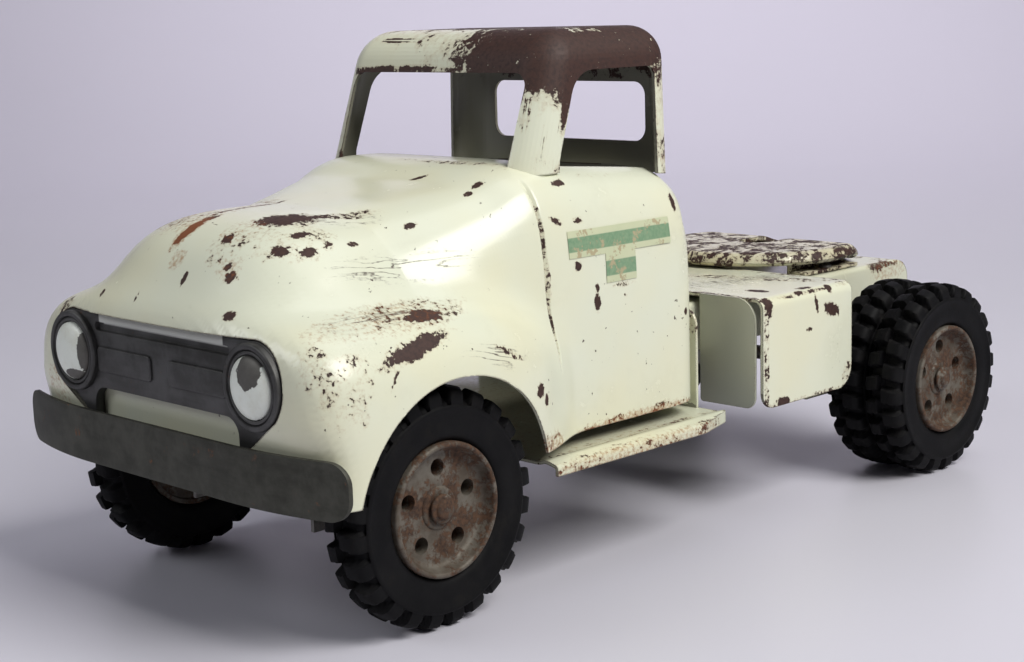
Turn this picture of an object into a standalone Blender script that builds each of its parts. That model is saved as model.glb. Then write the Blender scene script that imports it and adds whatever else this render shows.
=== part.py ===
"""Pressed-steel toy truck tractor: drawn body and cab, folded sheet chassis, six rubber-tyred wheels.

Lengths below are millimetres from the floor point midway between the front wheels:
+X is the driver's side, +Y runs from the nose to the tail, +Z is up. Everything hangs from one
empty, which moves that point forward so that the model's box is centred on the world origin.
"""
import math

import bmesh
import bpy
import numpy as np
from mathutils import Matrix, Vector

MM = 0.001
NOSE_Y = -44.5
TAIL_Y = 242.0
CENTRE_Y = (NOSE_Y + TAIL_Y) / 2

TYRE_RADIUS = 30.2
TYRE_WIDTH = 12.4
DISC_RADIUS = 17.0
WHEELBASE = 205.0
FRONT_WHEEL_X = 52.3
REAR_INNER_X = 51.6
REAR_OUTER_X = 65.9
AXLE_RADIUS = 2.4
HUB_RADIUS = 4.2
HUB_FACE = TYRE_WIDTH / 2 - 2.8
GAP = 0.3

SHEET = 1.0
BODY_FLOOR = 38.0
BODY_WIDTH = 51.0
FENDER_WIDTH = 64.0
CAB_BACK = 109.0
SADDLE_TOP = 64.8
DECK_TOP = 61.8
DECK_HALF = 33.0
CARRIER_HALF = 26.0
PAN_Z = 34.0
PAN_HALF = 60.0
RISER_Y = 112.0

PAINT = (0.78, 0.82, 0.70, 1.0)
BARE_STEEL = (0.22, 0.22, 0.21, 1.0)
ZINC = (0.42, 0.40, 0.36, 1.0)
RUBBER = (0.015, 0.015, 0.017, 1.0)
LABEL = (0.55, 0.62, 0.50, 1.0)

WHEEL_STEPS = 24


# ---- scene and helpers ---------------------------------------------------------------------------

def clear_scene():
    for old in list(bpy.data.objects):
        bpy.data.objects.remove(old, do_unlink=True)


def make_collection(name):
    made = bpy.data.collections.new(name)
    bpy.context.scene.collection.children.link(made)
    return made


def material(name, color, roughness, metallic=0.0):
    made = bpy.data.materials.new(name)
    made.use_nodes = True
    shader = made.node_tree.nodes["Principled BSDF"]
    shader.inputs["Base Color"].default_value = color
    shader.inputs["Roughness"].default_value = roughness
    shader.inputs["Metallic"].default_value = metallic
    made.diffuse_color = color
    return made


def add_object(name, bm, place=(0, 0, 0), finish=None, turn=(0, 0, 0)):
    """Links a bmesh given in millimetres as an object at place, and frees the bmesh."""
    mesh = bpy.data.meshes.new(name)
    if bm.faces and bm.calc_volume(signed=True) < 0:
        bmesh.ops.reverse_faces(bm, faces=bm.faces)
    bmesh.ops.scale(bm, vec=(MM, MM, MM), verts=bm.verts)
    bm.to_mesh(mesh)
    bm.free()
    made = bpy.data.objects.new(name, mesh)
    made.location = Vector(place) * MM
    made.rotation_euler = turn
    made.parent = truck
    parts.objects.link(made)
    if finish:
        mesh.materials.append(finish)
    return made


def as_cutter(made):
    parts.objects.unlink(made)
    cutters.objects.link(made)
    made.hide_render = True
    made.display_type = "WIRE"
    return made


def boolean(target, tool, operation):
    step = target.modifiers.new(operation.title() + "_" + tool.name, "BOOLEAN")
    step.operation = operation
    step.object = tool
    return target


def cut(target, *tools):
    for tool in tools:
        boolean(target, tool, "DIFFERENCE")
    return target


def smooth(made, degrees=35):
    made.data.shade_smooth()
    made.data.set_sharp_from_angle(angle=math.radians(degrees))
    return made


def box_mesh(size, centre=(0, 0, 0)):
    bm = bmesh.new()
    bmesh.ops.create_cube(bm, size=1.0)
    bmesh.ops.scale(bm, vec=size, verts=bm.verts)
    bmesh.ops.translate(bm, vec=centre, verts=bm.verts)
    return bm


def box(name, low, high, finish=None):
    size = [b - a for a, b in zip(low, high)]
    centre = [(a + b) / 2 for a, b in zip(low, high)]
    return add_object(name, box_mesh(size), centre, finish)


def rod(name, radius, length, centre, axis="X", finish=None, sides=20):
    bm = bmesh.new()
    bmesh.ops.create_cone(bm, cap_ends=True, segments=sides, radius1=radius, radius2=radius, depth=length)
    turn = {"X": (0, math.pi / 2, 0), "Y": (-math.pi / 2, 0, 0), "Z": (0, 0, 0)}[axis]
    return add_object(name, bm, centre, finish, turn)


def rounded(corners, steps=4):
    """The outline through corners (u, v, radius), with each corner turned into an arc."""
    outline = []
    count = len(corners)
    for i, (u, v, radius) in enumerate(corners):
        here = Vector((u, v))
        before = (Vector(corners[i - 1][:2]) - here).normalized()
        after = (Vector(corners[(i + 1) % count][:2]) - here).normalized()
        if radius <= 0:
            outline.append((u, v))
            continue
        half = before.angle(after) / 2
        reach = radius / math.tan(half)
        centre = here + (before + after).normalized() * (radius / math.sin(half))
        start = here + before * reach - centre
        sweep = start.angle_signed(here + after * reach - centre)
        for k in range(steps + 1):
            turned = start.copy()
            turned.rotate(Matrix.Rotation(-sweep * k / steps, 2))
            outline.append(tuple(centre + turned))
    return outline


def prism(name, outline, low, high, axis="Y", finish=None):
    """A flat outline pushed from low to high along axis; (u, v) are the other two axes in order."""
    curve = bpy.data.curves.new(name, "CURVE")
    curve.dimensions = "2D"
    curve.fill_mode = "BOTH"
    curve.extrude = (high - low) / 2
    spline = curve.splines.new("POLY")
    spline.points.add(len(outline) - 1)
    for point, (u, v) in zip(spline.points, outline):
        point.co = (u, v, 0, 1)
    spline.use_cyclic_u = True
    holder = bpy.data.objects.new(name + "_outline", curve)
    parts.objects.link(holder)
    bpy.context.view_layer.update()
    mesh = bpy.data.meshes.new_from_object(holder.evaluated_get(bpy.context.evaluated_depsgraph_get()))
    bpy.data.objects.remove(holder)
    bpy.data.curves.remove(curve)
    bm = bmesh.new()
    bm.from_mesh(mesh)
    bpy.data.meshes.remove(mesh)
    bmesh.ops.remove_doubles(bm, verts=bm.verts, dist=0.01)
    middle = (low + high) / 2
    place = {
        "X": lambda c: (c.z + middle, c.x, c.y),
        "Y": lambda c: (c.x, c.z + middle, c.y),
        "Z": lambda c: (c.x, c.y, c.z + middle),
    }[axis]
    for vert in bm.verts:
        vert.co = place(vert.co)
    bmesh.ops.recalc_face_normals(bm, faces=bm.faces)
    return add_object(name, bm, finish=finish)


def turned(name, profile, centre, side, finish=None, steps=WHEEL_STEPS):
    """A closed (radius, height) profile turned about the wheel's axis; +height points outboard."""
    area = sum(a[0] * b[1] - b[0] * a[1] for a, b in zip(profile, profile[1:] + profile[:1]))
    points = profile if area < 0 else profile[::-1]
    bm = bmesh.new()
    verts = [bm.verts.new((r, 0, h)) for r, h in points]
    for a, b in zip(verts, verts[1:] + verts[:1]):
        if a.co.x > 1e-6 or b.co.x > 1e-6:
            bm.edges.new((a, b))
    made = add_object(name, bm, centre, finish, (0, side * math.pi / 2, 0))
    step = made.modifiers.new("Screw", "SCREW")
    step.axis = "Z"
    step.steps = steps
    step.render_steps = steps
    step.use_merge_vertices = True
    step.merge_threshold = 0.00001
    return made


# ---- drawn body ----------------------------------------------------------------------------------

HOOD_TOP = ((4, 101.0), (20, 103.0), (34, 105.6), (41, 108.6), (47, 110.0), (60, 110.0),
            (CAB_BACK, 105.6))
SPINE_FRONT = 4.0
SPINE_BACK = 75.0
NOSE_SETBACK = 4.8
BODY_WIDTHS = ((-44, 46), (4, 47), (45, 50.5), (CAB_BACK, BODY_WIDTH))
BODY_POWERS = ((4, 3.2), (45, 6.5))


def along(table, y):
    return float(np.interp(y, [row[0] for row in table], [row[1] for row in table]))


def hull_radius(direction, width, height, length, section_power, run_power):
    """Distance from a spine end to a rounded box of these half sizes, along a unit direction."""
    dx, dy, dz = (abs(value) for value in direction)
    ring = (dx / width) ** section_power + (dz / height) ** section_power
    return (ring ** (run_power / section_power) + (dy / length) ** run_power) ** (-1 / run_power)


def hull_point(side_angle, tilt, y, inset):
    """A point on the body's skin; tilt is 0 between the spine ends and turns to 90 degrees past them."""
    dx = math.sin(side_angle) * math.cos(tilt)
    dz = math.cos(side_angle) * math.cos(tilt)
    dy = math.sin(tilt)
    width = along(BODY_WIDTHS, y) - inset
    height = along(HOOD_TOP, y) - BODY_FLOOR - inset
    power = along(BODY_POWERS, y)
    reach = (y - NOSE_Y - NOSE_SETBACK if dy < 0 else CAB_BACK - y) - inset
    run = 3.2 if dy < 0 else 9.0
    main = hull_radius((dx, dy, dz), width, height, reach, power, run)
    if y > 66:
        far = y + dy * main
        fall = (along(HOOD_TOP, far) - BODY_FLOOR) / (along(HOOD_TOP, y) - BODY_FLOOR)
        return dx * main, far, BODY_FLOOR + dz * main * fall
    back = max(0.0, y - SPINE_FRONT)
    shrink = (1 - min(back / 62.5, 1) ** 2.5) ** 0.4
    sink = (1 - min(back / 63.0, 1) ** 2.0) ** 0.5
    fender_width = (FENDER_WIDTH - inset) * max(shrink, 0.02)
    fender_height = (42.5 - inset) * max(sink, 0.02)
    fender = hull_radius((dx, dy, dz), fender_width, fender_height, reach, 5.5, 6.0)
    radius = (main ** 16 + fender ** 16) ** (1 / 16)
    return dx * radius, y + dy * radius, BODY_FLOOR + dz * radius


def hull_block(name, inset, floor_drop, across=30):
    """The body's outer skin, or its inside when inset, as a closed block on a flat bottom."""
    stations = [(SPINE_FRONT, -math.radians(a)) for a in (90, 82, 74, 66, 58, 50, 42, 34, 26, 18, 9)]
    stations += [(SPINE_FRONT + (SPINE_BACK - SPINE_FRONT) * k / 14, 0.0) for k in range(15)]
    stations += [(SPINE_BACK, math.radians(a)) for a in (12, 22, 28, 33, 37, 42, 50, 62, 76, 90)]
    bm = bmesh.new()
    rows = []
    for y, tilt in stations:
        angles = [math.pi * (k / across - 0.5) for k in range(across + 1)]
        if abs(tilt) > math.radians(89):
            angles = [0.0]
        row = []
        for angle in angles:
            x, py, z = hull_point(angle, tilt, y, inset)
            row.append(bm.verts.new((x, py, z)))
        rows.append(row)
    for front, back in zip(rows, rows[1:]):
        for k in range(across):
            quad = [front[min(k, len(front) - 1)], front[min(k + 1, len(front) - 1)],
                    back[min(k + 1, len(back) - 1)], back[min(k, len(back) - 1)]]
            bm.faces.new(list(dict.fromkeys(quad)))
    rim = [row[0] for row in rows] + [row[-1] for row in reversed(rows[1:-1])]
    cap = bm.faces.new(rim)
    if floor_drop:
        pushed = bmesh.ops.extrude_face_region(bm, geom=[cap])
        moved = [item for item in pushed["geom"] if isinstance(item, bmesh.types.BMVert)]
        bmesh.ops.translate(bm, vec=(0, 0, -floor_drop), verts=moved)
        bmesh.ops.delete(bm, geom=[cap], context="FACES_ONLY")
    bmesh.ops.triangulate(bm, faces=bm.faces)
    bmesh.ops.recalc_face_normals(bm, faces=bm.faces)
    return add_object(name, bm)


GRILLE_Y = -38.0
LAMP_X = 38.5
LAMP_Z = 65.3
LAMP_RADIUS = 11.2


def grille_outline(grow):
    """The recess in the nose: round at both lamps, drawn in towards the bottom corners."""
    radius = LAMP_RADIUS + grow
    half = [(LAMP_X + radius * math.cos(a), LAMP_Z + radius * math.sin(a))
            for a in (math.radians(d) for d in range(-40, 91, 13))]
    foot = (30.0 + grow, 46.0 - grow)
    return [foot] + half + [(-x, z) for x, z in reversed(half)] + [(-foot[0], foot[1])]


def make_body():
    body = hull_block("body_shell", 0.0, 0.0)
    body.data.materials.append(paint)
    recess = as_cutter(prism("recess_cut", grille_outline(0), -60, GRILLE_Y))
    pocket = as_cutter(prism("recess_pocket", grille_outline(SHEET), -60, GRILLE_Y + SHEET))
    hollow = as_cutter(hull_block("body_hollow", SHEET, 3.0))
    cut(hollow, pocket)
    cut(body, recess, hollow)
    opening = rounded([(-37.3, 55.5, 7), (-37.3, 102.6, 7), (37.3, 102.6, 7), (37.3, 55.5, 7)])
    cut(body, as_cutter(prism("cab_opening", opening, 96, 120, "Z")))
    for side in (-1, 1):
        arch = rod(f"arch_cut_{side}", 33.4, 34, (side * 58, 1.5, TYRE_RADIUS), sides=48)
        cut(body, as_cutter(arch))
    return smooth(body)


def make_upper_cab():
    """Roof, windshield posts and rear wall: a tapered block with rounded edges, hollowed and opened."""
    def block(name, inset, drop):
        bm = box_mesh((1, 1, 1))
        top = 144.6 - inset
        for vert in bm.verts:
            high = vert.co.z > 0
            z = top if high else 100.0 - drop
            lean = (z - 108.8) * 0.325
            x = (42.6 if not high else 41.2) - inset
            y = 47.2 + lean + inset if vert.co.y < 0 else 108.6 - inset
            vert.co = (math.copysign(x, vert.co.x), y, z)
        edges = [e for e in bm.edges if not all(v.co.z < 105 for v in e.verts)]
        bmesh.ops.bevel(bm, geom=edges, offset=9.5 - inset, segments=4, profile=0.5, affect="EDGES")
        bmesh.ops.triangulate(bm, faces=bm.faces)
        bmesh.ops.recalc_face_normals(bm, faces=bm.faces)
        return add_object(name, bm)

    cab = block("upper_cab", 0.0, 0.0)
    cab.data.materials.append(paint)
    cut(cab, as_cutter(block("cab_hollow", SHEET, 4.0)))
    windshield = rounded([(-34, 90, 0), (34, 90, 0), (35, 133.2, 4), (-35, 133.2, 4)])
    cut(cab, as_cutter(prism("windshield_cut", windshield, 20, 80)))
    side_glass = rounded([(58.0, 90, 0), (99.2, 90, 0), (99.2, 133.4, 2.5), (67.5, 133.4, 9),
                          (59.5, 110, 0)])
    cut(cab, as_cutter(prism("side_window_cut", side_glass, -60, 60, "X")))
    rear_glass = rounded([(-30.8, 111.3, 4), (30.8, 111.3, 4), (30.8, 128.4, 4), (-30.8, 128.4, 4)])
    cut(cab, as_cutter(prism("rear_window_cut", rear_glass, 95, 125)))
    seat = [(30, 80), (125, 80), (125, 104.9), (CAB_BACK, 105.9), (60, 110.3), (47, 110.3), (30, 109.6)]
    cut(cab, as_cutter(prism("cab_foot_trim", seat, -60, 60, "X")))
    return smooth(cab)


# ---- front end -----------------------------------------------------------------------------------

def make_grille():
    """One stamping: bar between the lamps, two lamp bezels and a leg down each side."""
    grille = prism("grille", grille_outline(-GAP), -41.0, GRILLE_Y - GAP, finish=steel)
    window = rounded([(-31, 40, 0), (31, 40, 0), (31, 56.6, 4.5), (-31, 56.6, 4.5)])
    cut(grille, as_cutter(prism("grille_window", window, -50, -30)))
    channel = rounded([(-29, 72.4, 1), (29, 72.4, 1), (29, 74.6, 1), (-29, 74.6, 1)])
    cut(grille, as_cutter(prism("grille_channel", channel, -50, -39.6)))
    for side in (-1, 1):
        panel = [(3.8, 61.5), (28.0, 61.5), (28.0, 67.3), (3.8, 67.3)]
        outline = [(side * x, z) for x, z in panel]
        cut(grille, as_cutter(prism(f"grille_panel_{side}", outline, -50, -40.2)))
        bezel = rod(f"bezel_{side}", 10.6, 4.0, (side * LAMP_X, -40.6, LAMP_Z), "Y", sides=24)
        boolean(grille, as_cutter(bezel), "UNION")
        seat = rod(f"lamp_seat_{side}", 7.9, 8.0, (side * LAMP_X, -44.9, LAMP_Z), "Y", sides=24)
        cut(grille, as_cutter(seat))
    return smooth(grille)


def make_headlight(side, name):
    """A shallow dome, pressed in a disc that sits inside its bezel."""
    rim = 7.5
    profile = [(0, 0), (rim, 0), (rim, 0.9)]
    profile += [(rim * math.cos(a), 0.9 + 2.2 * math.sin(a)) for a in (math.radians(d) for d in (25, 50, 70))]
    profile += [(0, 3.1)]
    lens = turned(name, profile, (side * LAMP_X, GRILLE_Y - 3.2, LAMP_Z), 1, paint, 24)
    lens.rotation_euler = (math.pi / 2, 0, 0)
    return smooth(lens)


def make_bumper():
    """A deep flat bar with rounded ends, bowed back from the middle towards each end."""
    half, low, high, thick = 68.0, 37.0, 51.0, 1.2
    bar = rounded([(-half, low, 4.5), (half, low, 4.5), (half, high, 4.5), (-half, high, 4.5)], 3)
    stations = sorted({round(x, 3) for x, _ in bar} | {float(x) for x in range(-60, 61, 12)})
    bm = bmesh.new()
    levels = {}
    for x, z in bar:
        levels.setdefault(round(x, 3), []).append(z)
    ring = []
    for x in stations:
        ends = levels.get(x, [low, high])
        ends = [min(ends), max(ends)] if max(ends) - min(ends) > 0.01 else [low, high]
        back = 6.0 * max(0.0, (abs(x) - 30) / 38) ** 2
        ring.append([bm.verts.new((x, NOSE_Y + back + depth, z)) for z in ends for depth in (0, thick)])
    for a, b in zip(ring, ring[1:]):
        for i, j in ((0, 1), (1, 3), (3, 2), (2, 0)):
            bm.faces.new((a[i], a[j], b[j], b[i]))
    for end in (ring[0], ring[-1]):
        bm.faces.new((end[0], end[1], end[3], end[2]))
    bmesh.ops.recalc_face_normals(bm, faces=bm.faces)
    return add_object("front_bumper", bm, finish=steel)


# ---- chassis -------------------------------------------------------------------------------------

def make_pan():
    """Floor sheet: running boards at both edges with turned-down lips, and a riser behind the cab."""
    lip = 3.0
    outline = [(-PAN_HALF, PAN_Z), (PAN_HALF, PAN_Z), (PAN_HALF, PAN_Z - lip),
               (PAN_HALF - SHEET, PAN_Z - lip), (PAN_HALF - SHEET, PAN_Z - SHEET),
               (-PAN_HALF + SHEET, PAN_Z - SHEET), (-PAN_HALF + SHEET, PAN_Z - lip), (-PAN_HALF, PAN_Z - lip)]
    pan = prism("running_board_pan", outline, 37.5, RISER_Y, "Y", paint)
    riser = rounded([(-46, PAN_Z - SHEET, 0), (46, PAN_Z - SHEET, 0), (46, 64, 6), (-46, 64, 6)])
    back = as_cutter(prism("riser_add", riser, RISER_Y - SHEET, RISER_Y))
    boolean(pan, back, "UNION")
    for side in (-1, 1):
        corner = [(side * 70, 98), (side * PAN_HALF, 98), (side * 52, 125), (side * 70, 125)]
        cut(pan, as_cutter(prism(f"board_corner_{side}", corner, 20, 40, "Z")))
        arch = rod(f"board_arch_{side}", 33.4, 40, (side * 62, 1.5, TYRE_RADIUS), sides=32)
        cut(pan, as_cutter(arch))
    return pan


def channel_outline(half, top, bottom, thick):
    return [(-half, bottom), (-half, top), (half, top), (half, bottom), (half - thick, bottom),
            (half - thick, top - thick), (-half + thick, top - thick), (-half + thick, bottom)]


def make_frame():
    """Inverted channel from the riser to the tail, with an ear on each flange for the rear axle."""
    outline = channel_outline(DECK_HALF, DECK_TOP, 22.0, 1.2)
    frame = prism("chassis_frame", outline, RISER_Y + GAP, TAIL_Y, "Y", paint)
    flange = [(100, 10), (WHEELBASE - 22, 10), (WHEELBASE - 22, 40), (WHEELBASE - 30, 47), (100, 47)]
    tail = [(WHEELBASE + 14, 10), (260, 10), (260, 47), (WHEELBASE + 22, 47), (WHEELBASE + 14, 40)]
    cut(frame, as_cutter(prism("flange_front_cut", flange, -50, 50, "X")))
    cut(frame, as_cutter(prism("flange_tail_cut", tail, -50, 50, "X")))
    corner = [(TAIL_Y - 6, 70), (TAIL_Y - 6, DECK_TOP), (TAIL_Y, DECK_TOP - 6), (260, 40), (260, 70)]
    hole = rod("rear_axle_hole", AXLE_RADIUS + GAP, 90, (0, WHEELBASE, TYRE_RADIUS), sides=20)
    king = rod("king_pin_hole", 5.0, 20, (0, WHEELBASE - 5, DECK_TOP), "Z", sides=20)
    trim = prism("tail_corner_cut", corner, -50, 50, "X")
    return cut(frame, as_cutter(trim), as_cutter(hole), as_cutter(king))


def make_front_carrier():
    """Channel under the hood that holds the front axle, from the bumper to the floor pan."""
    outline = channel_outline(CARRIER_HALF, PAN_Z + 8.0, 22.0, 1.2)
    carrier = prism("front_axle_carrier", outline, -39.5, 36.5, "Y", steel)
    for name, low, high in (("nose", -60, -16), ("back", 16, 60)):
        cut(carrier, as_cutter(box(f"carrier_{name}_cut", (-40, low, 10), (40, high, 35.5))))
    hole = rod("front_axle_hole", AXLE_RADIUS + GAP, 90, (0, 0, TYRE_RADIUS), sides=20)
    return cut(carrier, as_cutter(hole))


def make_saddle():
    """One sheet laid over the frame: flat top, a flap folded down in front and one at each side."""
    half, front, back, low = 58.0, 127.0, 172.0, 32.0
    top = rounded([(-half, front, 2), (half, front, 2), (half, back, 4), (-half, back, 4)])
    saddle = prism("saddle_cover", top, SADDLE_TOP - SHEET, SADDLE_TOP, "Z", paint)
    for side in (-1, 1):
        flap = rounded([(front + 4, low, 5), (back, low, 7), (back, SADDLE_TOP - 0.2, 5),
                        (front + 4, SADDLE_TOP - 0.2, 1)])
        edge = sorted((side * half, side * (half - SHEET)))
        boolean(saddle, as_cutter(prism(f"side_flap_{side}", flap, *edge, axis="X")), "UNION")
        face = rounded([(side * 35.0, low, 0), (side * (half - 2), low, 3),
                        (side * (half - 2), SADDLE_TOP - 0.2, 5), (side * 35.0, SADDLE_TOP - 0.2, 0)])
        boolean(saddle, as_cutter(prism(f"front_flap_{side}", face, front, front + SHEET)), "UNION")
    return saddle


def make_fifth_wheel():
    """A round plate on two side wings, with a king-pin slot that opens towards the tail."""
    radius, centre_y, top = 34.0, WHEELBASE - 5.0, 70.0
    profile = [(0, 0), (radius - 3, 0), (radius, -2.2), (radius, -3.6), (radius - 3.5, -1.4), (0, -1.4)]
    plate = turned("fifth_wheel", profile, (0, centre_y, top), 0, paint, 36)
    plate.rotation_euler = (0, 0, 0)
    slot = [(-5.5, centre_y - 5), (5.5, centre_y - 5), (5.5, centre_y + 8), (16, centre_y + 40),
            (-16, centre_y + 40), (-5.5, centre_y + 8)]
    cut(plate, as_cutter(prism("slot_cut", rounded([p + (2.0,) for p in slot]), 50, 90, "Z")))
    for side in (-1, 1):
        wing = [(centre_y - 15, DECK_TOP + GAP), (centre_y + 15, DECK_TOP + GAP), (centre_y + 18, top - 1.0),
                (centre_y - 18, top - 1.0)]
        edge = sorted((side * 25.0, side * 23.5))
        boolean(plate, as_cutter(prism(f"wing_{side}", wing, *edge, axis="X")), "UNION")
        foot = rounded([(side * 24, centre_y - 14, 0), (side * 31, centre_y - 14, 2),
                        (side * 31, centre_y + 14, 2), (side * 24, centre_y + 14, 0)])
        base = prism(f"wing_foot_{side}", foot, DECK_TOP + GAP, DECK_TOP + GAP + 1.2, "Z")
        boolean(plate, as_cutter(base), "UNION")
    return smooth(plate)


def make_rivets():
    """Domed heads that stand just clear of the sheet they hold."""
    places = {
        "fifth_wheel_rivet_left": (27.8, WHEELBASE - 5, DECK_TOP + 2 * GAP + 1.2),
        "fifth_wheel_rivet_right": (-27.8, WHEELBASE - 5, DECK_TOP + 2 * GAP + 1.2),
        "saddle_rivet_left": (20, 134, SADDLE_TOP + GAP),
        "saddle_rivet_right": (-20, 134, SADDLE_TOP + GAP),
    }
    for name, (x, y, z) in places.items():
        bm = bmesh.new()
        bmesh.ops.create_cone(bm, cap_ends=True, segments=14, radius1=2.2, radius2=1.2, depth=1.2)
        add_object(name, bm, (x, y, z + 0.6), steel)


# ---- wheels --------------------------------------------------------------------------------------

def make_tyre(name, x, y, side):
    half = TYRE_WIDTH / 2
    rim = DISC_RADIUS + GAP
    profile = [(rim, half - 1.6), (rim + 3, half), (TYRE_RADIUS - 5, half),
               (TYRE_RADIUS - 0.8, half - 2.0), (TYRE_RADIUS, 0), (TYRE_RADIUS - 0.8, 2.0 - half),
               (TYRE_RADIUS - 5, -half), (rim + 3, -half), (rim, 1.6 - half)]
    return smooth(turned(name, profile, (x, y, TYRE_RADIUS), side, rubber))


def make_disc(name, x, y, side):
    """A pressed disc: rolled rim, dished web with five round holes, and the hub it turns on."""
    half = TYRE_WIDTH / 2
    bore = AXLE_RADIUS + GAP
    web = half - 3.6
    profile = [(bore, HUB_FACE), (HUB_RADIUS + 1.3, HUB_FACE), (HUB_RADIUS + 2.3, web), (DISC_RADIUS - 2.6, web),
               (DISC_RADIUS - 1.4, half), (DISC_RADIUS, half - 0.4), (DISC_RADIUS, -half + 1),
               (DISC_RADIUS - 1.5, web - 1.4), (HUB_RADIUS, web - 1.4), (HUB_RADIUS, -half), (bore, -half)]
    disc = turned(name, profile, (x, y, TYRE_RADIUS), side, zinc)
    for k in range(5):
        angle = math.radians(90 + 72 * k)
        centre = (x, y + 10.3 * math.cos(angle), TYRE_RADIUS + 10.3 * math.sin(angle))
        cut(disc, as_cutter(rod(f"{name}_hole_{k}", 2.1, 40, centre, sides=8)))
    return smooth(disc)


def make_axle(name, y, hub_face, spacers):
    """The axle with a pushed-on cap outside each end wheel, and spacers as (near, far) along X."""
    seat = hub_face + GAP
    rod(f"{name}_axle", AXLE_RADIUS, 2 * (seat + 0.9), (0, y, TYRE_RADIUS), finish=steel, sides=16)
    for side, label in ((1, "left"), (-1, "right")):
        bore = AXLE_RADIUS + GAP / 2
        profile = [(bore, 0), (3.8, 0), (3.8, 1.0), (2.4, 2.0), (0, 2.3), (0, 1.2), (bore, 1.2)]
        cap = turned(f"{name}_{label}_cap", profile, (side * seat, y, TYRE_RADIUS), side, zinc, 16)
        smooth(cap)
        for part, (low, high) in spacers.items():
            ring = [(bore, low), (4.0, low), (4.0, high), (bore, high)]
            turned(f"{name}_{label}_{part}", ring, (0, y, TYRE_RADIUS), side, steel, 16)


def make_wheels():
    half = TYRE_WIDTH / 2
    for side, label in ((1, "left"), (-1, "right")):
        stations = {f"front_{label}": (FRONT_WHEEL_X, 0.0), f"rear_{label}_inner": (REAR_INNER_X, WHEELBASE),
                    f"rear_{label}_outer": (REAR_OUTER_X, WHEELBASE)}
        for name, (x, y) in stations.items():
            make_tyre(f"{name}_tyre", side * x, y, side)
            make_disc(f"{name}_disc", side * x, y, side)
    make_axle("front", 0.0, FRONT_WHEEL_X + HUB_FACE,
              {"spacer": (CARRIER_HALF + GAP, FRONT_WHEEL_X - half - GAP)})
    make_axle("rear", WHEELBASE, REAR_OUTER_X + HUB_FACE,
              {"spacer": (DECK_HALF + GAP, REAR_INNER_X - half - GAP),
               "dual_spacer": (REAR_INNER_X + HUB_FACE + GAP, REAR_OUTER_X - half - GAP)})


# ---- labels --------------------------------------------------------------------------------------

def door_x(y, z):
    """Half the body's width at a height on the doors."""
    power = along(BODY_POWERS, y)
    height = along(HOOD_TOP, y) - BODY_FLOOR
    return along(BODY_WIDTHS, y) * (1 - ((z - BODY_FLOOR) / height) ** power) ** (1 / power)


def make_door_labels():
    """A plain T-shaped label on each door, bent to the door's curve."""
    columns = [54.0, 61.0, 68.0, 74.0, 80.0, 88.0, 95.0]
    levels = [76.5, 80.5, 84.8, 88.5, 92.0]
    for side, label in ((1, "left"), (-1, "right")):
        bm = bmesh.new()
        grid = {}
        for y in columns:
            for z in levels:
                foot = door_x(y, z)
                grid[y, z] = [bm.verts.new((side * (foot + lift), y, z)) for lift in (GAP, 2 * GAP)]
        for y0, y1 in zip(columns, columns[1:]):
            for z0, z1 in zip(levels, levels[1:]):
                if z0 < 84 and not 67 < y0 < 80:
                    continue
                corners = [grid[y0, z0], grid[y1, z0], grid[y1, z1], grid[y0, z1]]
                for layer in (0, 1):
                    bm.faces.new([corner[layer] for corner in corners])
        bmesh.ops.delete(bm, geom=[v for v in bm.verts if not v.link_faces], context="VERTS")
        rims = [e for e in bm.edges if len(e.link_faces) == 1]
        bmesh.ops.bridge_loops(bm, edges=rims)
        bmesh.ops.triangulate(bm, faces=bm.faces)
        bmesh.ops.recalc_face_normals(bm, faces=bm.faces)
        add_object(f"door_label_{label}", bm, finish=paper)


clear_scene()
parts = make_collection("toy_truck_tractor")
cutters = make_collection("cutters")
truck = bpy.data.objects.new("truck", None)
truck.location = (0, -CENTRE_Y * MM, 0)
parts.objects.link(truck)

paint = material("cream_paint", PAINT, 0.35)
steel = material("bare_steel", BARE_STEEL, 0.45, 1.0)
zinc = material("wheel_steel", ZINC, 0.6, 0.6)
rubber = material("tyre_rubber", RUBBER, 0.75)
paper = material("door_label", LABEL, 0.6)

make_body()
make_upper_cab()
make_grille()
make_headlight(1, "left_headlight_lens")
make_headlight(-1, "right_headlight_lens")
make_bumper()
make_pan()
make_frame()
make_front_carrier()
make_saddle()
make_fifth_wheel()
make_rivets()
make_wheels()
make_door_labels()
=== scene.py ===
"""Looks of a worn pressed-steel toy truck tractor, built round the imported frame.

Shapes are given in millimetres from the floor point midway between the front wheels:
+X is the driver's side, +Y runs from the nose to the tail, +Z is up.
"""

import math

import bmesh
import bpy
import numpy as np
from mathutils import Euler, Matrix, Vector


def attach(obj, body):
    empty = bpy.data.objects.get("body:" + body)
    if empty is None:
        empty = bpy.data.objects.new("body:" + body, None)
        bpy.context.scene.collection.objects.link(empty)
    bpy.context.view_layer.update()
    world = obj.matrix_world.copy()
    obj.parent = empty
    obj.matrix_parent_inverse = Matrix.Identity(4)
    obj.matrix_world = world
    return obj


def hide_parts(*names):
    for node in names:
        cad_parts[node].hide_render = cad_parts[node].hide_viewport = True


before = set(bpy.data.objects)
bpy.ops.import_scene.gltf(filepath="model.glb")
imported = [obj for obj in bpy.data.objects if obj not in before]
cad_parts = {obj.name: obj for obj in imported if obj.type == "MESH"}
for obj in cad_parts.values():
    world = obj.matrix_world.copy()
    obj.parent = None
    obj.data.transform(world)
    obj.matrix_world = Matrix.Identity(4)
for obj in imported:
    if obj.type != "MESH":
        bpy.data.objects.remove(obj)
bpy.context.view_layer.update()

MM = 0.001
CENTRE_Y = 98.75
NOSE_Y = -44.5
TAIL_Y = 242.0
TYRE_RADIUS = 30.2
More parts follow.
